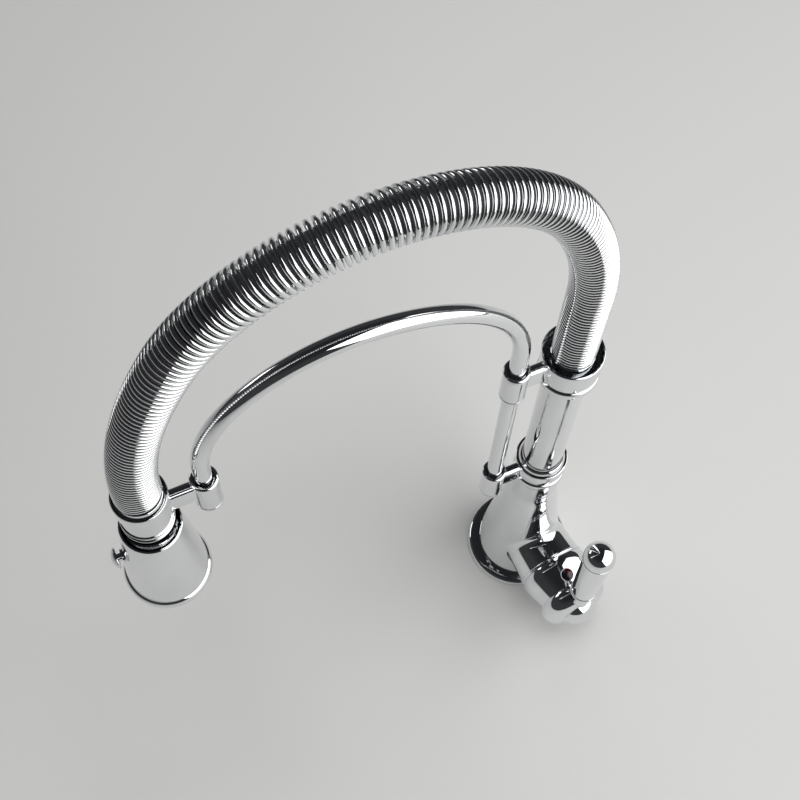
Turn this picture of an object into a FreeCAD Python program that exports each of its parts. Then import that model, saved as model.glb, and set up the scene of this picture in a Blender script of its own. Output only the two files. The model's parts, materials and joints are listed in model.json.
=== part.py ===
import FreeCAD, Part
import math
import os

# Deck mixer with a spring-clad arch spout, a support rod and a pull-out spray.
# Millimetres. The origin is the middle of the base's underside on the worktop, +Z is up,
# the spout's arch stands in the plane x = 0 towards -Y, and the lever's arm points to +X.

Vector = FreeCAD.Vector
UP = Vector(0, 0, 1)
ACROSS = Vector(1, 0, 0)

# Base and body
base_radius = 33.0
base_height = 5.0
base_edge_height = 1.8
base_top_radius = 28.2
register_radius = 22.9
register_height = 3.5
seal_inner_radius = 28.0
seal_width = 2.4
seal_depth = 1.5
foot_radius = 27.4
neck_radius = 14.5
neck_height = 23.6
neck_blend = 60.0
arm_blend = 6.0
body_height = 135.6
underside_recess_radius = 19.5
underside_recess_depth = 10.5
waterway_radius = 4.2
neck_bore_depth = 37.0

# Fixing under the worktop
worktop_thickness = 30.0
stud_radius = 4.0
stud_offset = 12.0
stud_engagement = 12.0
stud_tail = 22.0
clamp_seal_thickness = 2.0
clamp_plate_thickness = 3.0
clamp_radius = 25.0
clamp_stud_wall = 3.0
nut_height = 6.5
nut_across_flats = 13.0
inlet_radius = 4.5
inlet_depth = 12.0
inlet_spacing = 18.0
inlet_setback = 2.0
supply_hose_room = 1.5
passage_radius = 2.75

# Side arm, cartridge and its cover, measured along the arm from the body's axis
arm_turn = 6.4
arm_height = 39.2
arm_root_radius = 18.7
arm_radius = 21.2
arm_length = 34.6
trim_width = 1.8
trim_proud = 0.8
cartridge_radius = 17.5
cartridge_seat = 13.0
cartridge_seal_thickness = 1.0
cartridge_length = 22.0
cartridge_collar_radius = 14.1
cartridge_collar_length = 3.0
cartridge_well_radius = 13.3
cartridge_well_depth = 3.0
cartridge_clearance = 0.05
nut_thread_radius = 19.4
nut_thread_length = 8.0
nut_lip = 3.0
cover_wall = 3.7
cover_end_wall = 2.4
cover_length = 20.8
cover_mouth_radius = 15.2
cover_step = 0.5
cover_bulge_radius = 22.45
cover_bulge_distance = 3.5
cover_shoulder_radius = 22.2
cover_shoulder_distance = 6.6
cover_taper_crown = 0.2
index_radius = 3.8
index_setback = 13.1
index_proud = 0.5
index_depth = 1.7
index_seat_drop = 0.58
index_lean = 15.4

# Lever, tilting about a pin across the arm
pivot_distance = 42.0
dome_radius = 23.8
dome_clearance = 0.4
carrier_radius = 13.0
carrier_length = 13.7
fork_gap = 8.6
fork_floor = 3.7
pin_radius = 1.5
pin_length = 23.0
pin_fit = 0.05
stem_width = 8.0
stem_eye_radius = 4.5
stem_reach = 21.0
stem_fit = 0.02
hub_skirt = 14.0
hub_ring_distance = 18.8
hub_radius = 22.0
hub_round = 8.9
hub_boss_radius = 7.5
hub_boss_start = 18.0
hub_cap_seat = 26.0
hub_screw_radius = 2.5
hub_screw_head_radius = 4.2
hub_screw_head_height = 3.0
hub_screw_length = 14.0
cap_radius = 14.15
cap_centre = 20.7
cap_seat_radius = 12.4
handle_distance = 23.2
handle_neck_radius = 6.0
handle_neck_start = 15.0
handle_gap = 0.1
handle_root_radius = 7.6
handle_root_round = 1.0
handle_end_radius = 9.3
handle_end_height = 98.2
handle_ball_radius = 9.5
handle_ball_rise = 2.8
handle_spigot_radius = 4.0
handle_spigot_length = 12.0

# Spout column and its collars
bearing_gap = 0.3
slip_ring_thickness = 0.8
slip_ring_radius = 13.0
spigot_radius = 11.0
spigot_fit = 0.05
spigot_length = 34.0
spigot_bore_radius = 8.0
spigot_flange_radius = 13.4
spigot_flange_height = 2.4
spigot_socket_length = 12.0
seal_groove_depth = 1.6
seal_groove_height = 2.4
seal_groove_heights = (6.0, 26.0)
retaining_groove_height = 17.0
retaining_screw_radius = 2.0
retaining_screw_gap = 0.3
retaining_screw_socket_radius = 0.9
retaining_screw_socket_depth = 1.6
retaining_screw_recess = 0.4
column_radius = 11.7
column_wall = 1.4
lower_collar_gap = 0.7
lower_collar_height = 19.1
lower_collar_lip_radius = 15.0
upper_collar_rise = 135.7
upper_collar_height = 24.8
upper_collar_lip_radius = 15.9
upper_cup_depth = 15.8
collar_lip_height = 1.6
collar_wall = 1.1
collar_waist = 1.1
collar_bead_height = 5.6
collar_groove = 0.7
collar_lip_width = 0.9
collar_shoulder_rise = 3.0
collar_shoulder_crown = 0.5
collar_fit = 0.05

# Support rod and its holders
rod_radius = 4.4
rod_offset = 30.9
rod_rear_straight = 17.6
rod_rear_bend = 88.0
rod_rear_angle = 82.0
rod_front_distance = 29.6
rod_fit = 0.05
holder_radius = 6.7
holder_height = 29.0
holder_floor = 3.5
holder_lip_height = 2.2
holder_lip_proud = 0.25
holder_groove = 0.3
holder_round = 3.4
lower_holder_rise = 7.6
upper_holder_rise = 3.2
front_holder_drop = 9.1
bar_width = 6.0
bar_height = 14.5
bar_round = 1.2
lower_bar_drop = 8.4
upper_bar_drop = 10.3
front_bar_drop = 19.8
grub_radius = 1.5
grub_length = 2.2

# Spring, hose and the spring's ferrules
reach = 219.2
spring_seat_rise = 0.2
spring_rear_straight = 56.0
spring_rear_bend = 186.0
spring_rear_angle = 27.0
spring_front_bend = 220.0
spring_front_angle = 29.0
spring_outer_radius = 11.25
spring_wire = 3.3
spring_turns = 98
spring_front_straight = 1.8
ferrule_radius = 11.2
ferrule_bore_radius = 8.0
hose_radius = 7.2
hose_bore_radius = 4.5
hose_front_rise = 13.0
hose_connector_length = 16.0
hose_connector_fit = 0.05

# Collar, docking neck and hand spray at the front
front_collar_drop = 2.9
front_collar_height = 33.5
front_collar_lip_radius = 13.2
front_cup_radius = 11.8
front_cup_depth = 7.6
front_band_radius = 12.9
front_band_height = 16.1
front_neck_radius = 12.2
front_ring_proud = 0.45
front_ring_height = 1.8
front_ring_rises = (3.6, 8.0)
dock_radius = 10.9
dock_bore_radius = 6.9
dock_mouth_radius = 9.1
dock_mouth_depth = 5.5
tail_radius = 6.4
tail_bore_radius = 4.0
tail_rise = 8.9
tail_nut_radius = 10.4
tail_nut_height = 7.0
tail_neck_radius = 8.6
tail_neck_rise = 5.4
dock_reveal = 5.0
spray_height = 71.6
spray_radius = 22.2
spray_lip_height = 8.6
spray_lip_inset = 1.3
spray_top_radius = 15.2
spray_bulge = 0.35
spray_wall = 1.8
spray_mouth_radius = 20.3
spray_floor_height = 61.7
spray_floor_thickness = 2.6
spray_floor_bore = 8.9
spray_cup_wall = 1.1
face_recess = 0.8
face_thickness = 3.0
nozzle_radius = 0.95
nozzle_proud = 1.2
nozzle_ring_radii = (6.0, 11.0, 16.0)
nozzle_counts = (8, 14, 20)
face_mat_radius = 18.4
face_mat_thickness = 1.2
core_foot_height = 6.0
core_shoulder_height = 12.0
core_radius = 12.5
button_rise = 43.0
button_radius = 5.5
button_thickness = 3.4
button_dome = 2.4
button_stem_radius = 2.0
button_fit = 0.05
button_bush_radius = 3.6
button_bush_proud = 0.5
button_travel = 1.5
button_stem_inside = 9.0
valve_radius = 5.0

# Distances that follow from the sizes above
cone_top_height = body_height - neck_height
cone_run = cone_top_height - base_height
body_register_bottom = base_height - register_height
seat_floor = body_register_bottom + underside_recess_depth
clamp_slot_width = inlet_spacing + 2 * (inlet_radius + supply_hose_room)
cartridge_start = cartridge_seat + cartridge_seal_thickness
cartridge_end = cartridge_start + cartridge_length
cover_start = arm_length + trim_width
cover_end = cover_start + cover_length
hub_sphere = dome_radius + dome_clearance
handle_start = hub_radius + handle_gap
bore_radius = spigot_radius + spigot_fit
neck_bore_bottom = body_height - neck_bore_depth
flange_bottom = body_height + slip_ring_thickness + bearing_gap
flange_top = flange_bottom + spigot_flange_height
lower_collar_bottom = body_height + lower_collar_gap
lower_collar_top = lower_collar_bottom + lower_collar_height
upper_collar_bottom = lower_collar_bottom + upper_collar_rise
upper_collar_top = upper_collar_bottom + upper_collar_height
column_bore = column_radius - column_wall
column_top = upper_collar_top - upper_cup_depth
retaining_height = flange_bottom - retaining_groove_height
spring_start = upper_collar_top + spring_seat_rise
spring_straight_top = spring_start + spring_rear_straight
spring_crown_bend = (
    reach
    - spring_rear_bend * (1 - math.cos(math.radians(spring_rear_angle)))
    - spring_front_bend * (1 - math.cos(math.radians(spring_front_angle)))
) / (math.cos(math.radians(spring_rear_angle)) + math.cos(math.radians(spring_front_angle)))
spring_bend_end = (
    spring_straight_top
    + (spring_rear_bend - spring_crown_bend) * math.sin(math.radians(spring_rear_angle))
    - (spring_front_bend - spring_crown_bend) * math.sin(math.radians(spring_front_angle))
)
spring_end = spring_bend_end - spring_front_straight
hose_front_end = spring_end + hose_front_rise
front_collar_top = spring_end - front_collar_drop
front_band_bottom = front_collar_top - front_band_height
front_neck_bottom = front_collar_top - front_collar_height
dock_top = front_collar_top - front_cup_depth
tail_top = front_collar_top + tail_rise
spray_top = front_neck_bottom - dock_reveal
spray_bottom = spray_top - spray_height
spray_floor_bottom = spray_bottom + spray_floor_height
spray_floor_top = spray_floor_bottom + spray_floor_thickness
spray_lip_top = spray_bottom + spray_lip_height
spray_foot_radius = spray_radius - spray_lip_inset
tail_nut_top = spray_floor_bottom - bearing_gap
tail_nut_bottom = tail_nut_top - tail_nut_height
dock_bottom = spray_floor_top + bearing_gap
face_bottom = spray_bottom + face_recess
face_top = face_bottom + face_thickness
button_height = spray_bottom + button_rise
lower_holder_top = lower_collar_top + lower_holder_rise
upper_holder_top = upper_collar_top + upper_holder_rise
front_holder_top = front_collar_top - front_holder_drop
lower_bar_middle = lower_collar_top - lower_bar_drop
upper_bar_middle = upper_collar_top - upper_bar_drop
front_bar_middle = front_collar_top - front_bar_drop
rod_rear_straight_top = upper_holder_top + rod_rear_straight
rod_front_offset = reach - rod_front_distance
rod_front_bend = (
    (rod_front_offset - rod_offset - rod_rear_bend * (1 - math.cos(math.radians(rod_rear_angle))))
    / (math.cos(math.radians(rod_rear_angle)) + 1)
)


def outline_wire(path):
    """Closed wire in the plane y = 0 from (radius, height) corners.

    An entry of four numbers is an arc: a point on it, then its end.
    """
    here = Vector(path[0][0], 0, path[0][1])
    edges = []
    for step in list(path[1:]) + [path[0][:2]]:
        there = Vector(step[-2], 0, step[-1])
        if len(step) == 4:
            edges.append(Part.Arc(here, Vector(step[0], 0, step[1]), there).toShape())
        elif here.distanceToPoint(there) > 1e-6:
            edges.append(Part.makeLine(here, there))
        here = there
    return Part.Wire(edges)


def turned(path):
    """Solid turned about Z from a closed (radius, height) outline."""
    return Part.Face(outline_wire(path)).revolve(Vector(), UP, 360)


def rod_along(radius, start, end):
    """Round bar from one point to another."""
    run = end - start
    return Part.makeCylinder(radius, run.Length, start, run)


def disc(radius, bottom, top, x=0.0, y=0.0):
    """Upright cylinder between two heights."""
    return Part.makeCylinder(radius, top - bottom, Vector(x, y, bottom))


def tube(outer, inner, bottom, top, x=0.0, y=0.0):
    """Upright tube between two heights."""
    return disc(outer, bottom, top, x, y).cut(disc(inner, bottom, top, x, y))


def moved(shape, x, y, z):
    """Copy of a shape, shifted."""
    copy = shape.copy()
    copy.translate(Vector(x, y, z))
    return copy


def arm_matrix():
    """Carries a piece built about Z onto the side arm.

    Its Z runs out along the arm, its X points up, and its Y points to the front of the arm.
    """
    cos_turn = math.cos(math.radians(arm_turn))
    sin_turn = math.sin(math.radians(arm_turn))
    matrix = FreeCAD.Matrix()
    matrix.A11, matrix.A12, matrix.A13, matrix.A14 = 0, sin_turn, cos_turn, 0
    matrix.A21, matrix.A22, matrix.A23, matrix.A24 = 0, -cos_turn, sin_turn, 0
    matrix.A31, matrix.A32, matrix.A33, matrix.A34 = 1, 0, 0, arm_height
    return matrix


def on_arm(shape):
    """A piece built about Z, placed on the side arm."""
    return shape.transformed(arm_matrix(), True)


def arc_mid(centre, start, end):
    """Point in the middle of the arc from start to end about a centre, in (radius, height)."""
    radius = math.hypot(start[0] - centre[0], start[1] - centre[1])
    mid_x = (start[0] + end[0]) / 2 - centre[0]
    mid_y = (start[1] + end[1]) / 2 - centre[1]
    scale = radius / math.hypot(mid_x, mid_y)
    return centre[0] + mid_x * scale, centre[1] + mid_y * scale


def arc_to(centre, start, end):
    """Outline entry for the shorter arc about a centre."""
    return arc_mid(centre, start, end) + tuple(end)


def dome_to(start, rise):
    """Outline entry for a shallow dome from a rim up to the axis."""
    radius = (start[0] ** 2 + rise ** 2) / (2 * rise)
    top = start[1] + rise
    return arc_to((0, top - radius), start, (0, top))


def bend_route(start, straight, bends, last):
    """Edges of a route in the plane x = 0 that starts upwards and bends towards -Y.

    bends holds (radius, degrees); straight and last are the lengths of the end runs.
    """
    here = start
    heading = math.pi / 2
    there = here + Vector(0, 0, straight)
    edges = [Part.makeLine(here, there)]
    for radius, degrees in bends:
        turn = math.radians(degrees)
        centre = there + Vector(0, -math.sin(heading), math.cos(heading)) * radius
        mid, end = (
            centre + Vector(0, math.sin(heading + part), -math.cos(heading + part)) * radius
            for part in (turn / 2, turn)
        )
        edges.append(Part.Arc(there, mid, end).toShape())
        there = end
        heading += turn
    if last:
        way = Vector(0, math.cos(heading), math.sin(heading))
        edges.append(Part.makeLine(there, there + way * last))
    return edges


def round_sweep(edges, radius):
    """Round bar along a route of straight runs and tangent arcs."""
    first = edges[0]
    heading = first.tangentAt(first.FirstParameter)
    section = Part.Wire(Part.makeCircle(radius, first.valueAt(first.FirstParameter), heading))
    return Part.Wire(edges).makePipeShell([section], True, False)


# Base, body and the fixing under the worktop

def base_ring():
    """Flange on the worktop, with a groove for its seal."""
    seal_outer = seal_inner_radius + seal_width
    edge = (base_radius, base_edge_height)
    rise = (base_radius + base_top_radius) / 2 + 0.22 * (base_radius - base_top_radius)
    crown = base_edge_height + 0.72 * (base_height - base_edge_height)
    return turned([
        (register_radius, 0), (seal_inner_radius, 0), (seal_inner_radius, seal_depth),
        (seal_outer, seal_depth), (seal_outer, 0), (base_radius, 0), edge,
        (rise, crown, base_top_radius, base_height), (register_radius, base_height),
    ])


def base_seal():
    """Rubber ring in the base ring's groove."""
    return turned([
        (seal_inner_radius, 0), (seal_inner_radius + seal_width, 0),
        (seal_inner_radius + seal_width, seal_depth), (seal_inner_radius, seal_depth),
    ])


def arm_hole(radius, start, end, side=0.0):
    """Drilling along the side arm, offset to one side."""
    return on_arm(moved(disc(radius, start, end), 0, side, 0))


def inlet_points():
    """Middle of each inlet hole, seen from above."""
    turn = math.radians(arm_turn)
    return [
        Vector(
            inlet_setback * math.cos(turn) + side * math.sin(turn),
            inlet_setback * math.sin(turn) - side * math.cos(turn), 0)
        for side in (-inlet_spacing / 2, inlet_spacing / 2)
    ]


def stud_point():
    """Middle of the fixing stud, seen from above."""
    turn = math.radians(arm_turn)
    return Vector(-stud_offset * math.cos(turn), -stud_offset * math.sin(turn), 0)


def mixer_body():
    """Cast body: conical foot, neck with the spout's bearing bore, and the side arm."""
    lean = (foot_radius - neck_radius) / cone_run
    drop = neck_blend * math.tan(math.atan(lean) / 2)
    side = math.hypot(lean, 1.0)
    cone_end = (neck_radius + drop * lean / side, cone_top_height - drop / side)
    neck_start = (neck_radius, cone_top_height + drop)
    blend_centre = (neck_radius + neck_blend, neck_start[1])
    body = turned([
        (0, body_register_bottom), (register_radius, body_register_bottom),
        (register_radius, base_height), (foot_radius, base_height), cone_end,
        arc_to(blend_centre, cone_end, neck_start), (neck_radius, body_height), (0, body_height),
    ])
    body = body.fuse(on_arm(Part.makeCone(arm_root_radius, arm_radius, arm_length)))
    seams = [
        edge for edge in body.Edges
        if edge.Curve.TypeId not in ("Part::GeomLine", "Part::GeomCircle")
    ]
    body = body.makeFillet(arm_blend, seams)
    body = body.cut(disc(underside_recess_radius, body_register_bottom, seat_floor))
    body = body.cut(disc(bore_radius, neck_bore_bottom, body_height))
    body = body.cut(disc(waterway_radius, arm_height, neck_bore_bottom))
    body = body.cut(arm_hole(cartridge_radius + cartridge_clearance, cartridge_seat, arm_length))
    body = body.cut(arm_hole(nut_thread_radius, cartridge_end - nut_thread_length, arm_length))
    body = body.cut(arm_hole(waterway_radius, 0, cartridge_seat))
    for point in inlet_points():
        body = body.cut(disc(inlet_radius, seat_floor, seat_floor + inlet_depth, point.x, point.y))
        body = body.cut(disc(passage_radius, seat_floor, arm_height, point.x, point.y))
    for side in (-inlet_spacing / 2, inlet_spacing / 2):
        body = body.cut(arm_hole(passage_radius, inlet_setback, cartridge_seat, side))
    stud = stud_point()
    body = body.cut(disc(stud_radius, seat_floor, seat_floor + stud_engagement, stud.x, stud.y))
    return body.cut(rod_along(
        retaining_screw_radius, Vector(0, 0, retaining_height),
        Vector(0, 2 * neck_radius, retaining_height)))


def retaining_screw():
    """Grub screw at the back of the neck that holds the spout down."""
    tip = Vector(0, spigot_radius - seal_groove_depth + retaining_screw_gap, retaining_height)
    head = Vector(0, neck_radius - retaining_screw_recess, retaining_height)
    socket = rod_along(
        retaining_screw_socket_radius, head - Vector(0, retaining_screw_socket_depth, 0), head)
    return rod_along(retaining_screw_radius, tip, head).cut(socket)


def slip_ring():
    """Nylon washer that the spout turns on."""
    return tube(slip_ring_radius, bore_radius, body_height, body_height + slip_ring_thickness)


def fixing_stud():
    """Threaded stud that pulls the body down onto the worktop."""
    stud = stud_point()
    bottom = -worktop_thickness - clamp_seal_thickness - clamp_plate_thickness - stud_tail
    return disc(stud_radius, bottom, seat_floor + stud_engagement, stud.x, stud.y)


def horseshoe(bottom, thickness):
    """Horseshoe plate round the stud, open towards the hoses."""
    stud = stud_point()
    plate = disc(clamp_radius, bottom, bottom + thickness)
    slot = Part.makeBox(
        clamp_radius * 2, clamp_slot_width, thickness,
        Vector(-stud_offset + stud_radius + clamp_stud_wall, -clamp_slot_width / 2, bottom))
    slot.rotate(Vector(), UP, arm_turn)
    return plate.cut(slot).cut(disc(stud_radius, bottom, bottom + thickness, stud.x, stud.y))


def clamp_seal():
    """Rubber pad between the worktop and the clamp plate."""
    return horseshoe(-worktop_thickness - clamp_seal_thickness, clamp_seal_thickness)


def clamp_plate():
    """Steel horseshoe plate under the worktop."""
    bottom = -worktop_thickness - clamp_seal_thickness - clamp_plate_thickness
    return horseshoe(bottom, clamp_plate_thickness)


def stud_nut():
    """Hexagon nut under the clamp plate."""
    stud = stud_point()
    top = -worktop_thickness - clamp_seal_thickness - clamp_plate_thickness
    corner = nut_across_flats / math.sqrt(3)
    corners = [
        Vector(corner * math.cos(math.radians(60 * k)), corner * math.sin(math.radians(60 * k)), 0)
        for k in range(7)
    ]
    prism = Part.Face(Part.makePolygon(corners)).extrude(Vector(0, 0, nut_height))
    prism = moved(prism, stud.x, stud.y, top - nut_height)
    return prism.cut(disc(stud_radius, top - nut_height, top, stud.x, stud.y))


# Cartridge and its cover in the side arm

def cartridge_seal():
    """Rubber face seal under the cartridge, with its three ports."""
    seal = disc(cartridge_radius - 0.5, cartridge_seat, cartridge_start)
    seal = seal.cut(disc(waterway_radius, cartridge_seat, cartridge_start))
    for side in (-inlet_spacing / 2, inlet_spacing / 2):
        seal = seal.cut(disc(passage_radius, cartridge_seat, cartridge_start, 0, side))
    return on_arm(seal)


def cartridge():
    """Ceramic cartridge: barrel, and a well for the turning carrier."""
    top = cartridge_end + cartridge_collar_length
    floor = cartridge_end - cartridge_well_depth
    barrel = turned([
        (0, cartridge_start), (cartridge_radius, cartridge_start),
        (cartridge_radius, cartridge_end), (cartridge_collar_radius, cartridge_end),
        (cartridge_collar_radius, top), (cartridge_well_radius, top),
        (cartridge_well_radius, floor), (0, floor),
    ])
    for side, radius in ((-inlet_spacing / 2, passage_radius), (0, waterway_radius),
                         (inlet_spacing / 2, passage_radius)):
        barrel = barrel.cut(disc(radius, cartridge_start, cartridge_start + 4.0, 0, side))
    return on_arm(barrel)


def cartridge_nut():
    """Ring nut that holds the cartridge in the arm."""
    end = cartridge_end + nut_lip
    inner = cartridge_radius + 0.2
    return on_arm(turned([
        (nut_thread_radius, cartridge_end - nut_thread_length), (nut_thread_radius, end),
        (cartridge_collar_radius + 0.1, end), (cartridge_collar_radius + 0.1, cartridge_end),
        (inner, cartridge_end), (inner, cartridge_end - nut_thread_length),
    ]))


def arm_trim_ring():
    """Bead between the arm and the cartridge cover."""
    outer = arm_radius + trim_proud
    middle = arm_length + trim_width / 2
    return on_arm(turned([
        (nut_thread_radius + 0.1, arm_length), (arm_radius, arm_length),
        (outer, middle, arm_radius, cover_start), (nut_thread_radius + 0.1, cover_start),
    ]))


def cartridge_cover():
    """Barrel-shaped sleeve over the cartridge nut; its end stays inside a sphere about the pin."""
    step = (arm_radius + cover_step, cover_start + cover_step)
    shoulder = (cover_shoulder_radius, cover_start + cover_shoulder_distance)
    rim = (math.sqrt(dome_radius ** 2 - (cover_end - pivot_distance) ** 2), cover_end)
    taper = ((shoulder[0] + rim[0]) / 2 + cover_taper_crown, (shoulder[1] + rim[1]) / 2)
    inner = arm_radius - cover_wall
    nut_room = nut_thread_radius + 0.1
    nut_end = cartridge_end + nut_lip + 0.3
    cover = turned([
        (nut_room, cover_start), (arm_radius, cover_start), step,
        (cover_bulge_radius, cover_start + cover_bulge_distance) + shoulder, taper + rim,
        (cover_mouth_radius, cover_end), (cover_mouth_radius, cover_end - cover_end_wall),
        (inner, cover_end - cover_end_wall - 1.5), (inner, nut_end), (nut_room, nut_end),
    ])
    return on_arm(cover).cut(in_index_seat(disc(index_radius, -index_depth, arm_radius)))


def in_index_seat(shape):
    """A piece built about Z, set square to the cover's surface in the index's seat."""
    piece = shape.copy()
    piece.rotate(Vector(), Vector(0, 1, 0), 90 - index_lean)
    return on_arm(moved(piece, arm_radius - index_seat_drop, 0, cover_start + index_setback))


def index_button():
    """Index button in the top of the cover, its face slightly domed."""
    rim = (index_radius, 0)
    return in_index_seat(turned([
        (0, -index_depth), (index_radius, -index_depth), rim, dome_to(rim, index_proud),
    ]))


# Lever

def carrier():
    """Turning fork in the cartridge that carries the lever's pin."""
    floor = cartridge_end - cartridge_well_depth + bearing_gap
    top = floor + carrier_length
    fork = disc(carrier_radius, floor, top)
    slot_floor = floor + fork_floor
    fork = fork.cut(Part.makeBox(
        4 * carrier_radius, fork_gap, top - slot_floor,
        Vector(-2 * carrier_radius, -fork_gap / 2, slot_floor)))
    pin_hole = rod_along(
        pin_radius, Vector(0, -2 * carrier_radius, pivot_distance),
        Vector(0, 2 * carrier_radius, pivot_distance))
    return on_arm(fork.cut(pin_hole))


def carrier_pin():
    """Pin that the lever's stem tilts on."""
    half = pin_length / 2
    return on_arm(rod_along(
        pin_radius, Vector(0, -half, pivot_distance), Vector(0, half, pivot_distance)))


def lever_stem():
    """Square stem with an eye on the pin and a tapped end for the hub's screw."""
    half = stem_width / 2
    end = pivot_distance + stem_reach
    eye = rod_along(stem_eye_radius, Vector(0, -half, pivot_distance), Vector(0, half, pivot_distance))
    bar = Part.makeBox(stem_width, stem_width, stem_reach, Vector(-half, -half, pivot_distance))
    hole = rod_along(
        pin_radius + pin_fit, Vector(0, -stem_width, pivot_distance),
        Vector(0, stem_width, pivot_distance))
    tapping = disc(hub_screw_radius, end - hub_screw_length + 2.0, end)
    return on_arm(eye.fuse(bar).removeSplitter().cut(hole).cut(tapping))


def hub_front():
    """Distance of the hub's front face along the arm."""
    return pivot_distance + hub_ring_distance + hub_round


def lever_hub():
    """Rounded ring hub, hollow over the cover's spherical end."""
    pivot = (0, pivot_distance)
    skirt = pivot_distance + hub_skirt
    ring_centre = (hub_radius - hub_round, pivot_distance + hub_ring_distance)
    skirt_inner = (math.sqrt(hub_sphere ** 2 - hub_skirt ** 2), skirt)
    skirt_rise = math.sqrt(hub_round ** 2 - (hub_ring_distance - hub_skirt) ** 2)
    skirt_outer = (ring_centre[0] + skirt_rise, skirt)
    front = (ring_centre[0], hub_front())
    boss_start = pivot_distance + hub_boss_start
    boss_end = (hub_boss_radius, pivot_distance + math.sqrt(hub_sphere ** 2 - hub_boss_radius ** 2))
    cap_seat = pivot_distance + hub_cap_seat
    seat_radius = cap_seat_radius + stem_fit
    head_seat = cap_seat - hub_screw_head_height
    hub = turned([
        (0, boss_start), (hub_boss_radius, boss_start), boss_end,
        arc_to(pivot, boss_end, skirt_inner), skirt_outer,
        arc_to(ring_centre, skirt_outer, front), (seat_radius, hub_front()),
        (seat_radius, cap_seat), (0, cap_seat),
    ])
    side = stem_width + 2 * stem_fit
    stem_end = pivot_distance + stem_reach
    hub = hub.cut(Part.makeBox(
        side, side, stem_end - boss_start, Vector(-side / 2, -side / 2, boss_start)))
    hub = hub.cut(disc(hub_screw_radius, boss_start, cap_seat))
    hub = hub.cut(disc(hub_screw_head_radius, head_seat, cap_seat))
    neck_hole = rod_along(
        handle_neck_radius, Vector(handle_neck_start, 0, pivot_distance + handle_distance),
        Vector(2 * hub_radius, 0, pivot_distance + handle_distance))
    return on_arm(hub.cut(neck_hole))


def hub_screw():
    """Screw through the hub into the stem."""
    cap_seat = pivot_distance + hub_cap_seat
    head_seat = cap_seat - hub_screw_head_height
    stem_end = pivot_distance + stem_reach
    shank = disc(hub_screw_radius, stem_end - hub_screw_length + 2.0, head_seat)
    head = disc(hub_screw_head_radius, head_seat, cap_seat - 0.3)
    socket = disc(hub_screw_radius * 0.7, head_seat + 0.8, cap_seat)
    return on_arm(shank.fuse(head).removeSplitter().cut(socket))


def hub_cap():
    """Domed cap over the hub's screw."""
    centre = (0, pivot_distance + cap_centre)
    cap_seat = pivot_distance + hub_cap_seat
    start = (cap_seat_radius, centre[1] + math.sqrt(cap_radius ** 2 - cap_seat_radius ** 2))
    return on_arm(turned([
        (0, cap_seat), (cap_seat_radius, cap_seat), start,
        arc_to(centre, start, (0, centre[1] + cap_radius)),
    ]))


def upright_on_hub(shape):
    """A piece built about Z from the arm's axis, stood up on the hub."""
    piece = shape.copy()
    piece.translate(Vector(pivot_distance + handle_distance, 0, arm_height))
    piece.rotate(Vector(), UP, arm_turn)
    return piece


def lever_neck():
    """Boss between the hub and the handle, with a spigot up into the handle."""
    spigot_top = handle_start + handle_spigot_length
    return upright_on_hub(turned([
        (0, handle_neck_start), (handle_neck_radius, handle_neck_start),
        (handle_neck_radius, handle_start), (handle_spigot_radius, handle_start),
        (handle_spigot_radius, spigot_top), (0, spigot_top),
    ]))


def lever_handle():
    """Handle that widens towards its tip."""
    inner_top = handle_end_height - handle_spigot_length
    inner_bottom = handle_start + handle_spigot_length
    corner = (handle_root_radius - handle_root_round, handle_start + handle_root_round)
    round_start = (handle_root_radius - handle_root_round, handle_start)
    round_end = (handle_root_radius, handle_start + handle_root_round)
    return upright_on_hub(turned([
        (handle_spigot_radius, handle_start), round_start, arc_to(corner, round_start, round_end),
        (handle_end_radius, handle_end_height), (handle_spigot_radius, handle_end_height),
        (handle_spigot_radius, inner_top), (0, inner_top), (0, inner_bottom),
        (handle_spigot_radius, inner_bottom),
    ]))


def lever_tip():
    """Ball on the handle's end, on its spigot."""
    centre = (0, handle_end_height + handle_ball_rise)
    foot = (math.sqrt(handle_ball_radius ** 2 - handle_ball_rise ** 2), handle_end_height)
    spigot_bottom = handle_end_height - handle_spigot_length + 0.5
    return upright_on_hub(turned([
        (0, spigot_bottom), (handle_spigot_radius, spigot_bottom),
        (handle_spigot_radius, handle_end_height), foot,
        arc_to(centre, foot, (0, centre[1] + handle_ball_radius)),
    ]))


# Spout column

def swivel_spigot():
    """Turned spigot that carries the column in the body's neck."""
    bottom = flange_bottom - spigot_length
    groove_radius = spigot_radius - seal_groove_depth
    spigot = turned([
        (spigot_bore_radius, bottom), (spigot_radius - 0.6, bottom),
        (spigot_radius, bottom + 0.6), (spigot_radius, flange_bottom),
        (spigot_flange_radius, flange_bottom), (spigot_flange_radius, flange_top),
        (column_bore, flange_top), (column_bore, flange_top + spigot_socket_length),
        (spigot_bore_radius, flange_top + spigot_socket_length),
    ])
    grooves = [(bottom + height, seal_groove_height / 2) for height in seal_groove_heights]
    grooves.append((retaining_height, retaining_screw_radius + retaining_screw_gap))
    for middle, half in grooves:
        spigot = spigot.cut(tube(2 * spigot_radius, groove_radius, middle - half, middle + half))
    return spigot


def spigot_seals():
    """Two rubber rings in the spigot's grooves."""
    bottom = flange_bottom - spigot_length
    section = seal_groove_depth / 2 + 0.01
    rings = [
        Part.makeTorus(spigot_radius - seal_groove_depth + section, section, Vector(0, 0, bottom + height))
        for height in seal_groove_heights
    ]
    return Part.makeCompound(rings)


def column_tube():
    """Upright tube of the spout."""
    return tube(column_radius, column_bore, flange_top, column_top)


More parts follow.
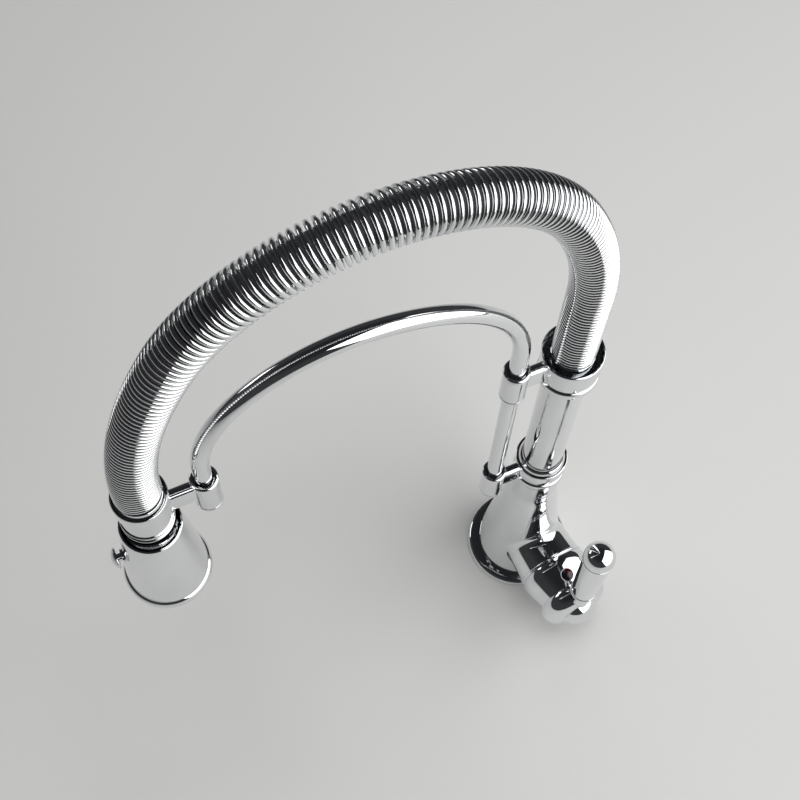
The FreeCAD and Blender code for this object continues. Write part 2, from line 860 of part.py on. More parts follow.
def collar_outside(bottom, top, lip_radius, bore):
    """Outline of a turned collar up to its lip: a bead at the foot and a waist under the lip.

    Args: its bottom and top heights, the lip's radius and the tube's radius.
    """
    bead = lip_radius + 0.1
    waist = lip_radius - collar_waist
    groove = bead - collar_groove
    bead_top = bottom + collar_bead_height
    lip_bottom = top - collar_lip_height
    swell = bead - 0.15
    middle = (bead_top + lip_bottom) / 2
    return [
        (bore, bottom), (bead - 1.6, bottom),
        (bead, bottom + collar_bead_height * 0.5, bead - 0.5, bead_top - 0.6),
        (groove, bead_top), (groove, bead_top + 0.5), (swell - 0.2, bead_top + 1.1),
        (swell, middle - 0.8, waist, lip_bottom - 0.8),
        (waist + 0.1, lip_bottom - 0.2, lip_radius - 0.25, lip_bottom + 0.2),
        (lip_radius, lip_bottom + collar_lip_height * 0.55, lip_radius - 0.45, top),
    ]


def lower_collar():
    """Collar at the foot of the column, with a shoulder that rises from its lip to the column."""
    top = lower_collar_top
    bore = column_radius + collar_fit
    inside = lower_collar_lip_radius - collar_lip_width
    shoulder = (bore + 0.3, top + collar_shoulder_rise)
    foot = (inside - 0.4, top - 0.9)
    crown = ((foot[0] + shoulder[0]) / 2 + collar_shoulder_crown, (foot[1] + shoulder[1]) / 2)
    body = turned(
        collar_outside(lower_collar_bottom, top, lower_collar_lip_radius, bore)
        + [(inside, top - 0.1), (inside, top - 0.9), foot, crown + shoulder, (bore, shoulder[1])])
    return body.cut(disc(spigot_flange_radius, lower_collar_bottom, flange_top))


def upper_collar():
    """Cup collar at the head of the column."""
    top = upper_collar_top
    bore = column_radius + collar_fit
    cup = upper_collar_lip_radius - collar_waist - collar_wall
    floor = top - upper_cup_depth
    return turned(
        collar_outside(upper_collar_bottom, top, upper_collar_lip_radius, bore)
        + [(upper_collar_lip_radius - collar_wall, top - 0.2), (cup, top - collar_lip_height - 0.9),
           (cup, floor + 1.2), (cup - 0.4, floor + 0.35, cup - 1.2, floor), (bore, floor)])


# Support rod and its holders

def holder(top, offset, open_through):
    """Upright holder for the rod: a cup with a lip, or a sleeve where the rod passes."""
    bottom = top - holder_height
    lip = holder_radius + holder_lip_proud
    bore = rod_radius + rod_fit
    lip_bottom = top - holder_lip_height
    centre = (holder_radius - holder_round, bottom + holder_round)
    round_start = (holder_radius - holder_round, bottom)
    round_end = (holder_radius, bottom + holder_round)
    outside = [
        round_start, arc_to(centre, round_start, round_end),
        (holder_radius, lip_bottom - 1.2), (holder_radius - holder_groove, lip_bottom - 0.8),
        (holder_radius - holder_groove, lip_bottom - 0.4), (lip, lip_bottom + 0.2),
        (lip, top - 0.6), (lip - 0.6, top), (bore + 0.9, top), (bore, top - 1.2),
    ]
    if open_through:
        outside[0] = (max(holder_radius - holder_round, bore + 0.3), bottom)
        outside[1] = arc_to(centre, round_start, round_end)
        ends = [(bore, bottom)]
    else:
        ends = [(bore, bottom + holder_floor), (0, bottom + holder_floor), (0, bottom)]
    return moved(turned(outside + ends), 0, -offset, 0)


def bar(start, end, middle):
    """Flat bar along Y between two offsets, with its long edges rounded."""
    block = Part.makeBox(
        bar_width, end - start, bar_height, Vector(-bar_width / 2, -end, middle - bar_height / 2))
    long_edges = [edge for edge in block.Edges if abs(edge.tangentAt(edge.FirstParameter).y) > 0.99]
    return block.makeFillet(bar_round, long_edges)


def bracket(holder_top, holder_offset, through, axis_offset, middle, collar_shape):
    """Holder and bar in one piece, cut to fit against a collar.

    Args: the holder's top and offset, whether the rod passes through it, the offset of the
    collar's axis, the bar's middle height, and the collar that the bar ends against.
    """
    piece = holder(holder_top, holder_offset, through)
    near, far = sorted((holder_offset, axis_offset))
    reach_bar = bar(near, far, middle)
    rod_room = disc(rod_radius + rod_fit, middle - bar_height, middle + bar_height, 0, -holder_offset)
    collar_room = disc(column_radius + 0.4, middle - bar_height, middle + bar_height, 0, -axis_offset)
    blocked = collar_shape.fuse(collar_room)
    parts = reach_bar.cut(blocked).cut(rod_room).Solids
    clear = min(parts, key=lambda solid: abs(-holder_offset - solid.CenterOfMass.y))
    return piece.fuse(clear).removeSplitter()


def lower_bracket():
    """Bracket that closes the rod's lower end."""
    return bracket(lower_holder_top, rod_offset, False, 0.0, lower_bar_middle, lower_collar())


def upper_bracket():
    """Bracket that the rod passes through."""
    return bracket(upper_holder_top, rod_offset, True, 0.0, upper_bar_middle, upper_collar())


def support_rod():
    """Bent rod from the lower bracket over to the front bracket."""
    foot = lower_holder_top - holder_height + holder_floor
    front_foot = front_holder_top - holder_height + holder_floor
    rise = rod_rear_bend * math.sin(math.radians(rod_rear_angle))
    fall = rod_front_bend * math.sin(math.radians(rod_rear_angle))
    bend_end = rod_rear_straight_top + rise - fall
    edges = bend_route(
        Vector(0, -rod_offset, foot), rod_rear_straight_top - foot,
        [(rod_rear_bend, rod_rear_angle), (rod_front_bend, 180 - rod_rear_angle)],
        bend_end - front_foot)
    return round_sweep(edges, rod_radius)


# Spring, its ferrules and the hose inside

def spring_bends():
    """Bends of the spring's centre line, rear to front."""
    crown = 180 - spring_rear_angle - spring_front_angle
    return [
        (spring_rear_bend, spring_rear_angle), (spring_crown_bend, crown),
        (spring_front_bend, spring_front_angle),
    ]


def centre_line(distance):
    """Point, heading and curvature of the spring's centre line at a distance along it.

    The heading is an angle in the plane x = 0, a quarter turn meaning straight up.
    """
    heading = math.pi / 2
    here = Vector(0, 0, spring_start)
    run = spring_straight_top - spring_start
    if distance <= run:
        return here + UP * distance, heading, 0.0
    here += UP * run
    distance -= run
    for radius, degrees in spring_bends():
        turn = math.radians(degrees)
        length = radius * turn
        part = min(distance / radius, turn)
        centre = here + Vector(0, -math.sin(heading), math.cos(heading)) * radius
        here = centre + Vector(0, math.sin(heading + part), -math.cos(heading + part)) * radius
        heading += part
        if distance <= length:
            return here, heading, 1.0 / radius
        distance -= length
    return here - UP * distance, heading, 0.0


def spring_length():
    """Length of the spring's centre line."""
    bends = sum(radius * math.radians(degrees) for radius, degrees in spring_bends())
    return spring_straight_top - spring_start + bends + spring_bend_end - spring_end


def wire_point(distance, angle):
    """Point and direction of the spring's wire at a distance along the centre line."""
    centre, heading, curvature = centre_line(distance)
    forward = Vector(0, math.cos(heading), math.sin(heading))
    inward = Vector(0, -math.sin(heading), math.cos(heading))
    radius = spring_outer_radius - spring_wire / 2
    point = centre + inward * (radius * math.cos(angle)) + ACROSS * (radius * math.sin(angle))
    rate = 2 * math.pi * spring_turns / wound_length()
    direction = (
        forward * (1 - curvature * radius * math.cos(angle))
        + inward * (-radius * rate * math.sin(angle))
        + ACROSS * (radius * rate * math.cos(angle))
    )
    return point, direction.normalize()


def end_rise():
    """Length along the centre line taken by each straight end and its bend."""
    return spring_wire + end_bend()


def end_bend():
    """Radius of the bend between the spring's turns and its straight ends."""
    return spring_wire * 1.2


def wound_length():
    """Length of the centre line that the turns cover."""
    return spring_length() - 2 * end_rise()


def biarc(start, start_way, end, end_way):
    """Two tangent arcs from one point and direction to another."""
    chord = end - start
    ways = start_way + end_way
    spread = 2 * (1 - start_way.dot(end_way))
    along = chord.dot(ways)
    reach_out = (math.sqrt(along ** 2 + spread * chord.dot(chord)) - along) / spread
    first_corner = start + start_way * reach_out
    last_corner = end - end_way * reach_out
    joint = (first_corner + last_corner) * 0.5
    arcs = []
    for here, corner, there in ((start, first_corner, joint), (joint, last_corner, end)):
        middle = (here + there) * 0.5
        half_cos = here.distanceToPoint(middle) / here.distanceToPoint(corner)
        top = middle + (corner - middle) * (half_cos / (1 + half_cos))
        arcs.append(Part.Arc(here, top, there).toShape())
    return arcs


def spring_edges():
    """Route of the spring's wire: straight end, turns, straight end."""
    count = spring_turns * 2
    rise = end_rise()
    stations = []
    for step in range(count + 1):
        distance = rise + wound_length() * step / count
        stations.append(wire_point(distance, math.pi * step))
    first, last = stations[0], stations[-1]
    foot_way, head_way = UP, UP * -1
    foot_bend_start = first[0] - first[1] * end_bend() - foot_way * end_bend()
    head_bend_end = last[0] + last[1] * end_bend() + head_way * end_bend()
    foot = Vector(foot_bend_start.x, foot_bend_start.y, spring_start)
    head = Vector(head_bend_end.x, head_bend_end.y, spring_end)
    edges = [Part.makeLine(foot, foot_bend_start)]
    edges += biarc(foot_bend_start, foot_way, first[0], first[1])
    for here, there in zip(stations, stations[1:]):
        edges += biarc(here[0], here[1], there[0], there[1])
    edges += biarc(last[0], last[1], head_bend_end, head_way)
    edges.append(Part.makeLine(head_bend_end, head))
    return edges


def spring_gap():
    """Least gap between one turn of the spring's wire and the next, measured on points."""
    samples = 24
    points = []
    for step in range(spring_turns * samples + 1):
        distance = end_rise() + wound_length() * step / (spring_turns * samples)
        points.append(wire_point(distance, 2 * math.pi * step / samples)[0])
    least = min(
        points[k].distanceToPoint(points[k + samples + shift])
        for k in range(len(points) - samples - 3) for shift in (-2, -1, 0, 1, 2)
    )
    return least - spring_wire


def spring():
    """Wound spring over the arch: one unbroken wire."""
    return round_sweep(spring_edges(), spring_wire / 2)


def rear_ferrule():
    """Smooth sleeve under the spring's rear end."""
    return tube(ferrule_radius, ferrule_bore_radius, column_top, spring_start)


def front_ferrule():
    """Smooth sleeve under the spring's front end."""
    return tube(ferrule_radius, ferrule_bore_radius, dock_top, spring_end, 0, -reach)


def hose():
    """Inner hose from the spigot, up the column and over the arch."""
    start = flange_bottom - spigot_length + hose_connector_length
    bends = spring_bends()
    radius, degrees = bends[-1]
    unused = math.degrees(math.asin((hose_front_end - spring_bend_end) / radius))
    bends[-1] = (radius, degrees - unused)
    edges = bend_route(Vector(0, 0, start), spring_straight_top - start, bends, 0)
    return round_sweep(edges, hose_radius).cut(round_sweep(edges, hose_bore_radius))


def hose_connector():
    """Hose end fitting in the spigot's bore."""
    bottom = flange_bottom - spigot_length
    return tube(
        spigot_bore_radius - hose_connector_fit, hose_bore_radius, bottom,
        bottom + hose_connector_length)


# Front collar, docking neck and hand spray

def front_collar():
    """Cup collar under the spring's front end, with a ringed neck below it."""
    lip_bottom = front_collar_top - collar_lip_height
    bore = dock_radius + collar_fit
    neck_side = []
    for rise in front_ring_rises:
        middle = front_neck_bottom + rise
        neck_side += [
            (front_neck_radius, middle - front_ring_height / 2),
            (front_neck_radius + front_ring_proud, middle,
             front_neck_radius, middle + front_ring_height / 2),
        ]
    piece = turned([
        (bore, front_neck_bottom), (front_neck_radius - 0.6, front_neck_bottom),
        (front_neck_radius, front_neck_bottom + 0.6)] + neck_side + [
        (front_neck_radius, front_band_bottom), (front_band_radius - 0.3, front_band_bottom),
        (front_band_radius, front_band_bottom + 0.3), (front_band_radius - 0.2, lip_bottom),
        (front_collar_lip_radius, lip_bottom + collar_lip_height * 0.55,
         front_collar_lip_radius - 0.4, front_collar_top),
        (front_cup_radius, front_collar_top - 0.2), (front_cup_radius, dock_top), (bore, dock_top),
    ])
    return moved(piece, 0, -reach, 0)


def front_bracket():
    """Bracket that joins the rod to the front collar."""
    return bracket(
        front_holder_top, rod_front_offset, False, reach, front_bar_middle, front_collar())


def docking_neck():
    """Neck that the hand spray docks against and the hose slides through."""
    mouth_top = dock_bottom + dock_mouth_depth
    return moved(turned([
        (dock_mouth_radius, dock_bottom), (dock_radius - 0.8, dock_bottom),
        (dock_radius, dock_bottom + 0.8), (dock_radius, dock_top), (dock_bore_radius, dock_top),
        (dock_bore_radius, mouth_top + 2.0), (dock_mouth_radius, mouth_top),
    ]), 0, -reach, 0)


def hose_tail():
    """Sliding end of the hose, which follows the hand spray out."""
    return tube(tail_radius, tail_bore_radius, tail_nut_bottom, tail_top, 0, -reach)


def tail_nut():
    """Swivel nut between the hose and the hand spray."""
    neck_top = tail_nut_top + tail_neck_rise
    nut = turned([
        (tail_radius, tail_nut_bottom), (tail_nut_radius, tail_nut_bottom),
        (tail_nut_radius, tail_nut_top), (tail_neck_radius, tail_nut_top),
        (tail_neck_radius, neck_top - 0.8), (tail_neck_radius - 0.8, neck_top),
        (tail_radius, neck_top),
    ])
    return moved(nut, 0, -reach, 0)


def button_reach():
    """Distance from the spray's axis to its surface at the button."""
    share = (button_height - spray_lip_top) / (spray_top - spray_lip_top)
    return spray_foot_radius + (spray_top_radius - spray_foot_radius) * share + spray_bulge


def spray_shell():
    """Conical shell of the hand spray: mouth with a lip, a cup on top, and the button's bush."""
    inner_foot = spray_foot_radius - spray_wall
    inner_head = spray_top_radius - spray_wall
    cone_head = (spray_top_radius, spray_top - 0.8)
    shell = turned([
        (spray_mouth_radius, spray_bottom), (spray_radius - 1.5, spray_bottom),
        (spray_radius - 0.35, spray_bottom + 1.4, spray_radius, spray_bottom + spray_lip_height * 0.45),
        (spray_radius - 0.2, spray_lip_top - 1.2, spray_foot_radius, spray_lip_top),
        ((spray_foot_radius + cone_head[0]) / 2 + spray_bulge,
         (spray_lip_top + cone_head[1]) / 2) + cone_head,
        (cone_head[0] - 0.3, spray_top - 0.15, cone_head[0] - 0.7, spray_top),
        (spray_top_radius - spray_cup_wall, spray_top - 0.3),
        (dock_radius + 1.4, spray_floor_top + 2.5), (dock_radius + 0.6, spray_floor_top),
        (spray_floor_bore, spray_floor_top), (spray_floor_bore, spray_floor_bottom),
        (inner_head, spray_floor_bottom), (inner_foot, spray_lip_top), (inner_foot, face_top),
        (spray_mouth_radius, face_top),
    ])
    front = button_reach() + button_bush_proud
    bush = rod_along(
        button_bush_radius, Vector(0, -front + button_bush_proud + spray_wall, button_height),
        Vector(0, -front, button_height))
    hole = rod_along(
        button_stem_radius + button_fit, Vector(0, 0, button_height),
        Vector(0, -front - spray_wall, button_height))
    return moved(shell.fuse(bush).cut(hole), 0, -reach, 0)


def nozzle_places():
    """Middle of each nozzle, from the spray's axis."""
    return [
        Vector(radius * math.cos(2 * math.pi * k / count), radius * math.sin(2 * math.pi * k / count), 0)
        for radius, count in zip(nozzle_ring_radii, nozzle_counts) for k in range(count)
    ]


def spray_face():
    """Plate in the mouth of the hand spray, with a hole for each nozzle."""
    plate = disc(spray_mouth_radius, face_bottom, face_top)
    for hole in nozzle_places():
        plate = plate.cut(disc(nozzle_radius, face_bottom, face_top, hole.x, hole.y))
    return moved(plate, 0, -reach, 0)


def nozzle_mat():
    """Rubber mat behind the face, with a nozzle through each hole."""
    mat = disc(face_mat_radius, face_top, face_top + face_mat_thickness)
    nubs = [
        disc(nozzle_radius, face_bottom - nozzle_proud, face_top + face_mat_thickness / 2, hole.x, hole.y)
        for hole in nozzle_places()
    ]
    return moved(mat.multiFuse(nubs).removeSplitter(), 0, -reach, 0)


def spray_core():
    """Water chamber inside the hand spray."""
    bottom = face_top + face_mat_thickness
    top = tail_nut_bottom - bearing_gap
    core = turned([
        (0, bottom), (face_mat_radius - 0.4, bottom),
        (face_mat_radius - 1.4, bottom + core_foot_height),
        (core_radius, bottom + core_shoulder_height), (core_radius - 2.0, top), (0, top),
    ])
    valve_room = rod_along(
        valve_radius, Vector(0, 0, button_height), Vector(0, -2 * core_radius, button_height))
    return moved(core.cut(valve_room), 0, -reach, 0)


def spray_valve():
    """Valve in the water chamber that the button works."""
    stem_tip = button_reach() + button_bush_proud - button_stem_inside
    end = Vector(0, -(stem_tip - button_travel - bearing_gap), button_height)
    return moved(rod_along(valve_radius, Vector(0, 0, button_height), end), 0, -reach, 0)


def spray_button():
    """Round push button on its stem, at the front of the hand spray."""
    bush_front = button_reach() + button_bush_proud
    back = bush_front + button_travel + bearing_gap
    rim = (button_radius, back + button_thickness - button_dome)
    knob = turned([
        (0, back), (button_radius - 0.7, back),
        (button_radius - 0.2, back + 0.2, button_radius, back + 0.8), rim,
        dome_to(rim, button_dome),
    ])
    stem = disc(button_stem_radius, bush_front - button_stem_inside, back)
    button = knob.fuse(stem).removeSplitter()
    button.rotate(Vector(), ACROSS, 90)
    return moved(button, 0, -reach, button_height)


pieces = {
    "base_ring": base_ring,
    "base_seal": base_seal,
    "mixer_body": mixer_body,
    "spout_retaining_screw": retaining_screw,
    "swivel_slip_ring": slip_ring,
    "fixing_stud": fixing_stud,
    "clamp_seal": clamp_seal,
    "clamp_plate": clamp_plate,
    "stud_nut": stud_nut,
    "cartridge_seal": cartridge_seal,
    "cartridge": cartridge,
    "cartridge_nut": cartridge_nut,
    "arm_trim_ring": arm_trim_ring,
    "cartridge_cover": cartridge_cover,
    "index_button": index_button,
    "cartridge_carrier": carrier,
    "carrier_pin": carrier_pin,
    "lever_stem": lever_stem,
    "lever_hub": lever_hub,
    "hub_screw": hub_screw,
    "hub_cap": hub_cap,
    "lever_neck": lever_neck,
    "lever_handle": lever_handle,
    "lever_tip": lever_tip,
    "swivel_spigot": swivel_spigot,
    "spigot_seals": spigot_seals,
    "column_tube": column_tube,
    "lower_collar": lower_collar,
    "lower_bracket": lower_bracket,
    "upper_collar": upper_collar,
    "upper_bracket": upper_bracket,
    "support_rod": support_rod,
    "front_bracket": front_bracket,
    "front_collar": front_collar,
    "docking_neck": docking_neck,
    "rear_ferrule": rear_ferrule,
    "front_ferrule": front_ferrule,
    "arch_spring": spring,
    "inner_hose": hose,
    "hose_connector": hose_connector,
    "hose_tail": hose_tail,
    "tail_nut": tail_nut,
    "spray_shell": spray_shell,
    "spray_face": spray_face,
    "nozzle_mat": nozzle_mat,
    "spray_core": spray_core,
    "spray_valve": spray_valve,
    "spray_button": spray_button,
}

os.makedirs("parts", exist_ok=True)
for name, make in pieces.items():
    shape = make()
    shape.exportStep(os.path.join("parts", name + ".step"))
    box = shape.BoundBox
    print(f"{name}: {len(shape.Solids)} solid, {shape.Volume:.0f} mm3, valid {shape.isValid()}, "
          f"x {box.XMin:.1f}..{box.XMax:.1f} y {box.YMin:.1f}..{box.YMax:.1f} "
          f"z {box.ZMin:.1f}..{box.ZMax:.1f}")
print(f"spring: {spring_length():.1f} mm long, crown radius {spring_crown_bend:.1f}, "
      f"least gap between turns {spring_gap():.2f} mm")
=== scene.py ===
"""Looks of a deck mixer with a spring-clad arch spout, a support rod and a pull-out hand spray."""

import json
import logging
import math
from dataclasses import dataclass
from enum import Enum

import bmesh
import bpy
from mathutils import Matrix, Vector


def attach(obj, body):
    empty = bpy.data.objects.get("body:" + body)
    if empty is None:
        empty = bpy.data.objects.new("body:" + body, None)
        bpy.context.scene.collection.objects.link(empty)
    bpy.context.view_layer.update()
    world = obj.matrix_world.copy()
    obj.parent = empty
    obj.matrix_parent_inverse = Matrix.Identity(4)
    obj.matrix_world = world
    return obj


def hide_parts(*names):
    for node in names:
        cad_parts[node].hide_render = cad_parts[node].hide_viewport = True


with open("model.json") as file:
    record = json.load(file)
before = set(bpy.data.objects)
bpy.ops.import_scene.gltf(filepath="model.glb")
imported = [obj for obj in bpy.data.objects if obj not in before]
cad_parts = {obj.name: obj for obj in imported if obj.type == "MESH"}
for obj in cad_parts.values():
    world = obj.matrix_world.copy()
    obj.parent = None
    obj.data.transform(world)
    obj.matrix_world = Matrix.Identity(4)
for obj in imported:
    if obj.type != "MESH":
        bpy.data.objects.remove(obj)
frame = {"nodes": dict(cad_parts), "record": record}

Point = tuple[float, float]
Triple = tuple[float, float, float]
Colour = tuple[float, float, float]
Outline = list[tuple[float, ...]]

LOG = logging.getLogger("mixer")
MM = 0.001
"""A millimetre in metres."""

ARM_TURN = 6.4
"""Degrees that the side arm is turned from X towards Y."""
ARM_HEIGHT = 39.2
"""Height of the side arm's axis, in millimetres."""
REACH = 219.2
"""Distance of the spray's axis in front of the column's axis, in millimetres."""
ROD_OFFSET = 30.9
"""Distance of the rod's upright part in front of the column's axis, in millimetres."""
ROD_REACH = 189.6
"""Distance of the rod's front end in front of the column's axis, in millimetres."""
SPRING_FOOT = 297.0
"""Height of the spring's rear end, in millimetres."""
SPRING_FRONT = 331.975
"""Height of the spring's front end, in millimetres."""
DOCK_SEAT = 321.475
"""Height of the front ferrule's seat, in millimetres."""


class Body(Enum):
    """Bodies that carry the new pieces."""

    BASE = "base"
    LEVER = "lever"
    SPOUT = "spout"


class Texture(Enum):
    """Kinds of surface pattern that a finish can carry."""

    POLISH = "polish_marks"
    GRAIN = "moulded_grain"
    BRUSHED = "brushed_lines"


# Shader nodes


def add_noise(
    tree: bpy.types.NodeTree, vector: bpy.types.NodeSocket, scale: float, detail: float
) -> bpy.types.NodeSocket:
    """Add a noise texture.

    Args:
        tree: Node tree that takes the node.
        vector: Coordinates to read.
        scale: Repeats per metre.
        detail: Octaves of detail.

    Returns:
        The noise value.
    """
    node = tree.nodes.new("ShaderNodeTexNoise")
    node.inputs["Scale"].default_value = scale
    node.inputs["Detail"].default_value = detail
    tree.links.new(vector, node.inputs["Vector"])
    return node.outputs["Fac"]


def spread(
    tree: bpy.types.NodeTree, value: bpy.types.NodeSocket, limits: tuple[float, float],
    low: bpy.types.NodeSocket | float = 0.0, high: bpy.types.NodeSocket | float = 1.0
) -> bpy.types.NodeSocket:
    """Map a value between two limits onto a range.

    Args:
        tree: Node tree that takes the node.
        value: Value to map.
        limits: Lowest and highest value read.
        low: Result at the lowest value.
        high: Result at the highest value.

    Returns:
        The mapped value.
    """
    node = tree.nodes.new("ShaderNodeMapRange")
    node.inputs["From Min"].default_value, node.inputs["From Max"].default_value = limits
    tree.links.new(value, node.inputs["Value"])
    for name, end in (("To Min", low), ("To Max", high)):
        if isinstance(end, float):
            node.inputs[name].default_value = end
        else:
            tree.links.new(end, node.inputs[name])
    return node.outputs["Result"]


def mix_colours(
    tree: bpy.types.NodeTree, mask: bpy.types.NodeSocket, first: Colour, second: Colour
) -> bpy.types.NodeSocket:
    """Mix two colours.

    Args:
        tree: Node tree that takes the node.
        mask: Share of the second colour.
        first: Colour where the mask is 0.
        second: Colour where the mask is 1.

    Returns:
        The mixed colour.
    """
    mix = tree.nodes.new("ShaderNodeMix")
    mix.data_type = "RGBA"
    mix.inputs["A"].default_value = (*first, 1.0)
    mix.inputs["B"].default_value = (*second, 1.0)
    tree.links.new(mask, mix.inputs["Factor"])
    return mix.outputs["Result"]


# Shared surface effects


class EffectLibrary:
    """Node groups that the finishes share, each built once."""

    def __init__(self) -> None:
        """Build every group."""
        self.groups: dict[Texture, bpy.types.NodeTree] = {
            Texture.POLISH: self._polish(),
            Texture.GRAIN: self._grain(),
            Texture.BRUSHED: self._brushed(),
        }

    @staticmethod
    def _new_group(texture: Texture) -> bpy.types.NodeTree:
        """Start a group that takes coordinates and the lowest and highest roughness.

        Args:
            texture: Pattern that the group draws, whose name it takes.

        Returns:
            The group with its inputs and the three shared outputs.
        """
        group = bpy.data.node_groups.new(texture.value, "ShaderNodeTree")
        sockets = group.interface
        sockets.new_socket("Vector", in_out="INPUT", socket_type="NodeSocketVector")
        for label in ("Low", "High"):
            sockets.new_socket(label, in_out="INPUT", socket_type="NodeSocketFloat")
        for label in ("Tone", "Roughness", "Height"):
            sockets.new_socket(label, in_out="OUTPUT", socket_type="NodeSocketFloat")
        group.nodes.new("NodeGroupInput").name = "In"
        group.nodes.new("NodeGroupOutput").name = "Out"
        return group

    @staticmethod
    def _stretch(
        group: bpy.types.NodeTree, scale: Triple, rotation: Triple = (0.0, 0.0, 0.0)
    ) -> bpy.types.NodeSocket:
        """Stretch and turn a group's coordinates.

        Args:
            group: Group that takes the node.
            scale: Scale along X, Y and Z.
            rotation: Turns about X, Y and Z, in radians.

        Returns:
            The new coordinates.
        """
        node = group.nodes.new("ShaderNodeMapping")
        node.inputs["Scale"].default_value = scale
        node.inputs["Rotation"].default_value = rotation
        group.links.new(group.nodes["In"].outputs["Vector"], node.inputs["Vector"])
        return node.outputs["Vector"]

    @staticmethod
    def _calculate(
        group: bpy.types.NodeTree, operation: str, first: bpy.types.NodeSocket,
        second: bpy.types.NodeSocket
    ) -> bpy.types.NodeSocket:
        """Combine two values and hold the result between 0 and 1.

        Args:
            group: Group that takes the node.
            operation: Blender's name for the operation.
            first: First value.
            second: Second value.

        Returns:
            The result.
        """
        node = group.nodes.new("ShaderNodeMath")
        node.operation = operation
        node.use_clamp = True
        for place, value in enumerate((first, second)):
            group.links.new(value, node.inputs[place])
        return node.outputs["Value"]

    @staticmethod
    def _finish_group(
        group: bpy.types.NodeTree, tone: bpy.types.NodeSocket, roughness: bpy.types.NodeSocket,
        height: bpy.types.NodeSocket
    ) -> bpy.types.NodeTree:
        """Join the three outputs of a group.

        Args:
            group: Group to finish.
            tone: Colour mix from 0 to 1.
            roughness: Roughness over the surface.
            height: Height for the bump.

        Returns:
            The group.
        """
        out = group.nodes["Out"]
        for label, socket in (("Tone", tone), ("Roughness", roughness), ("Height", height)):
            group.links.new(socket, out.inputs[label])
        return group

    def _polish(self) -> bpy.types.NodeTree:
        """Polished plate: faint wipe marks, a few dried drops and a slight waviness.

        Returns:
            The group.
        """
        group = self._new_group(Texture.POLISH)
        inputs = group.nodes["In"].outputs
        wiped = self._stretch(group, (1.0, 1.0, 0.35), (0.5, 0.3, 0.2))
        smears = spread(group, add_noise(group, wiped, scale=55.0, detail=5.0), (0.45, 0.75))
        drops = group.nodes.new("ShaderNodeTexVoronoi")
        drops.inputs["Scale"].default_value = 160.0
        group.links.new(inputs["Vector"], drops.inputs["Vector"])
        rims = spread(group, drops.outputs["Distance"], (0.05, 0.16), 0.5, 0.0)
        splashed = add_noise(group, inputs["Vector"], scale=24.0, detail=2.0)
        spots = self._calculate(group, "MULTIPLY", rims, spread(group, splashed, (0.58, 0.68)))
        marks = self._calculate(group, "ADD", smears, spots)
        roughness = spread(group, marks, (0.0, 1.0), inputs["Low"], inputs["High"])
        waves = add_noise(group, inputs["Vector"], scale=30.0, detail=1.0)
        return self._finish_group(group, marks, roughness, waves)

    def _grain(self) -> bpy.types.NodeTree:
        """Moulded plastic or rubber: fine pits and slow colour drift.

        Returns:
            The group.
        """
        group = self._new_group(Texture.GRAIN)
        inputs = group.nodes["In"].outputs
        pits = add_noise(group, inputs["Vector"], scale=2600.0, detail=3.0)
        drift = add_noise(group, inputs["Vector"], scale=90.0, detail=3.0)
        roughness = spread(group, drift, (0.35, 0.65), inputs["Low"], inputs["High"])
        return self._finish_group(group, spread(group, drift, (0.3, 0.7)), roughness, pits)

    def _brushed(self) -> bpy.types.NodeTree:
        """Machined metal: fine lines round the vertical axis.

        Returns:
            The group.
        """
        group = self._new_group(Texture.BRUSHED)
        inputs = group.nodes["In"].outputs
        lines = add_noise(group, self._stretch(group, (0.02, 0.02, 1.0)), scale=4200.0, detail=4.0)
        drift = add_noise(group, inputs["Vector"], scale=60.0, detail=2.0)
        roughness = spread(group, lines, (0.3, 0.7), inputs["Low"], inputs["High"])
        return self._finish_group(group, spread(group, drift, (0.35, 0.65)), roughness, lines)


# Finishes


@dataclass(frozen=True)
class Finish:
    """A surface finish and the material it makes."""

    name: str
    slot: str
    colour: Colour
    second_colour: Colour
    metallic: float
    roughness: tuple[float, float]
    texture: Texture
    bump: float

    def make(self, effects: EffectLibrary) -> bpy.types.Material:
        """Build the material.

        Args:
            effects: Shared node groups.

        Returns:
            The material.
        """
        material = bpy.data.materials.new(self.name)
        material.use_nodes = True
        tree = material.node_tree
        shader = tree.nodes["Principled BSDF"]
        shader.inputs["Metallic"].default_value = self.metallic
        place = tree.nodes.new("ShaderNodeTexCoord").outputs["Object"]
        effect = tree.nodes.new("ShaderNodeGroup")
        effect.node_tree = effects.groups[self.texture]
        effect.inputs["Low"].default_value, effect.inputs["High"].default_value = self.roughness
        tree.links.new(place, effect.inputs["Vector"])
        tree.links.new(effect.outputs["Roughness"], shader.inputs["Roughness"])
        mask = self._mask(tree, place, effect.outputs["Tone"])
        colour = mix_colours(tree, mask, self.colour, self.second_colour)
        tree.links.new(colour, shader.inputs["Base Color"])
        bump = tree.nodes.new("ShaderNodeBump")
        bump.inputs["Strength"].default_value = 1.0
        bump.inputs["Distance"].default_value = self.bump
        tree.links.new(effect.outputs["Height"], bump.inputs["Height"])
        tree.links.new(bump.outputs["Normal"], shader.inputs["Normal"])
        return material

    def _mask(
        self, tree: bpy.types.NodeTree, place: bpy.types.NodeSocket, tone: bpy.types.NodeSocket
    ) -> bpy.types.NodeSocket:
        """Share of the second colour: the effect's tone, unless a finish has its own mask."""
        return tone


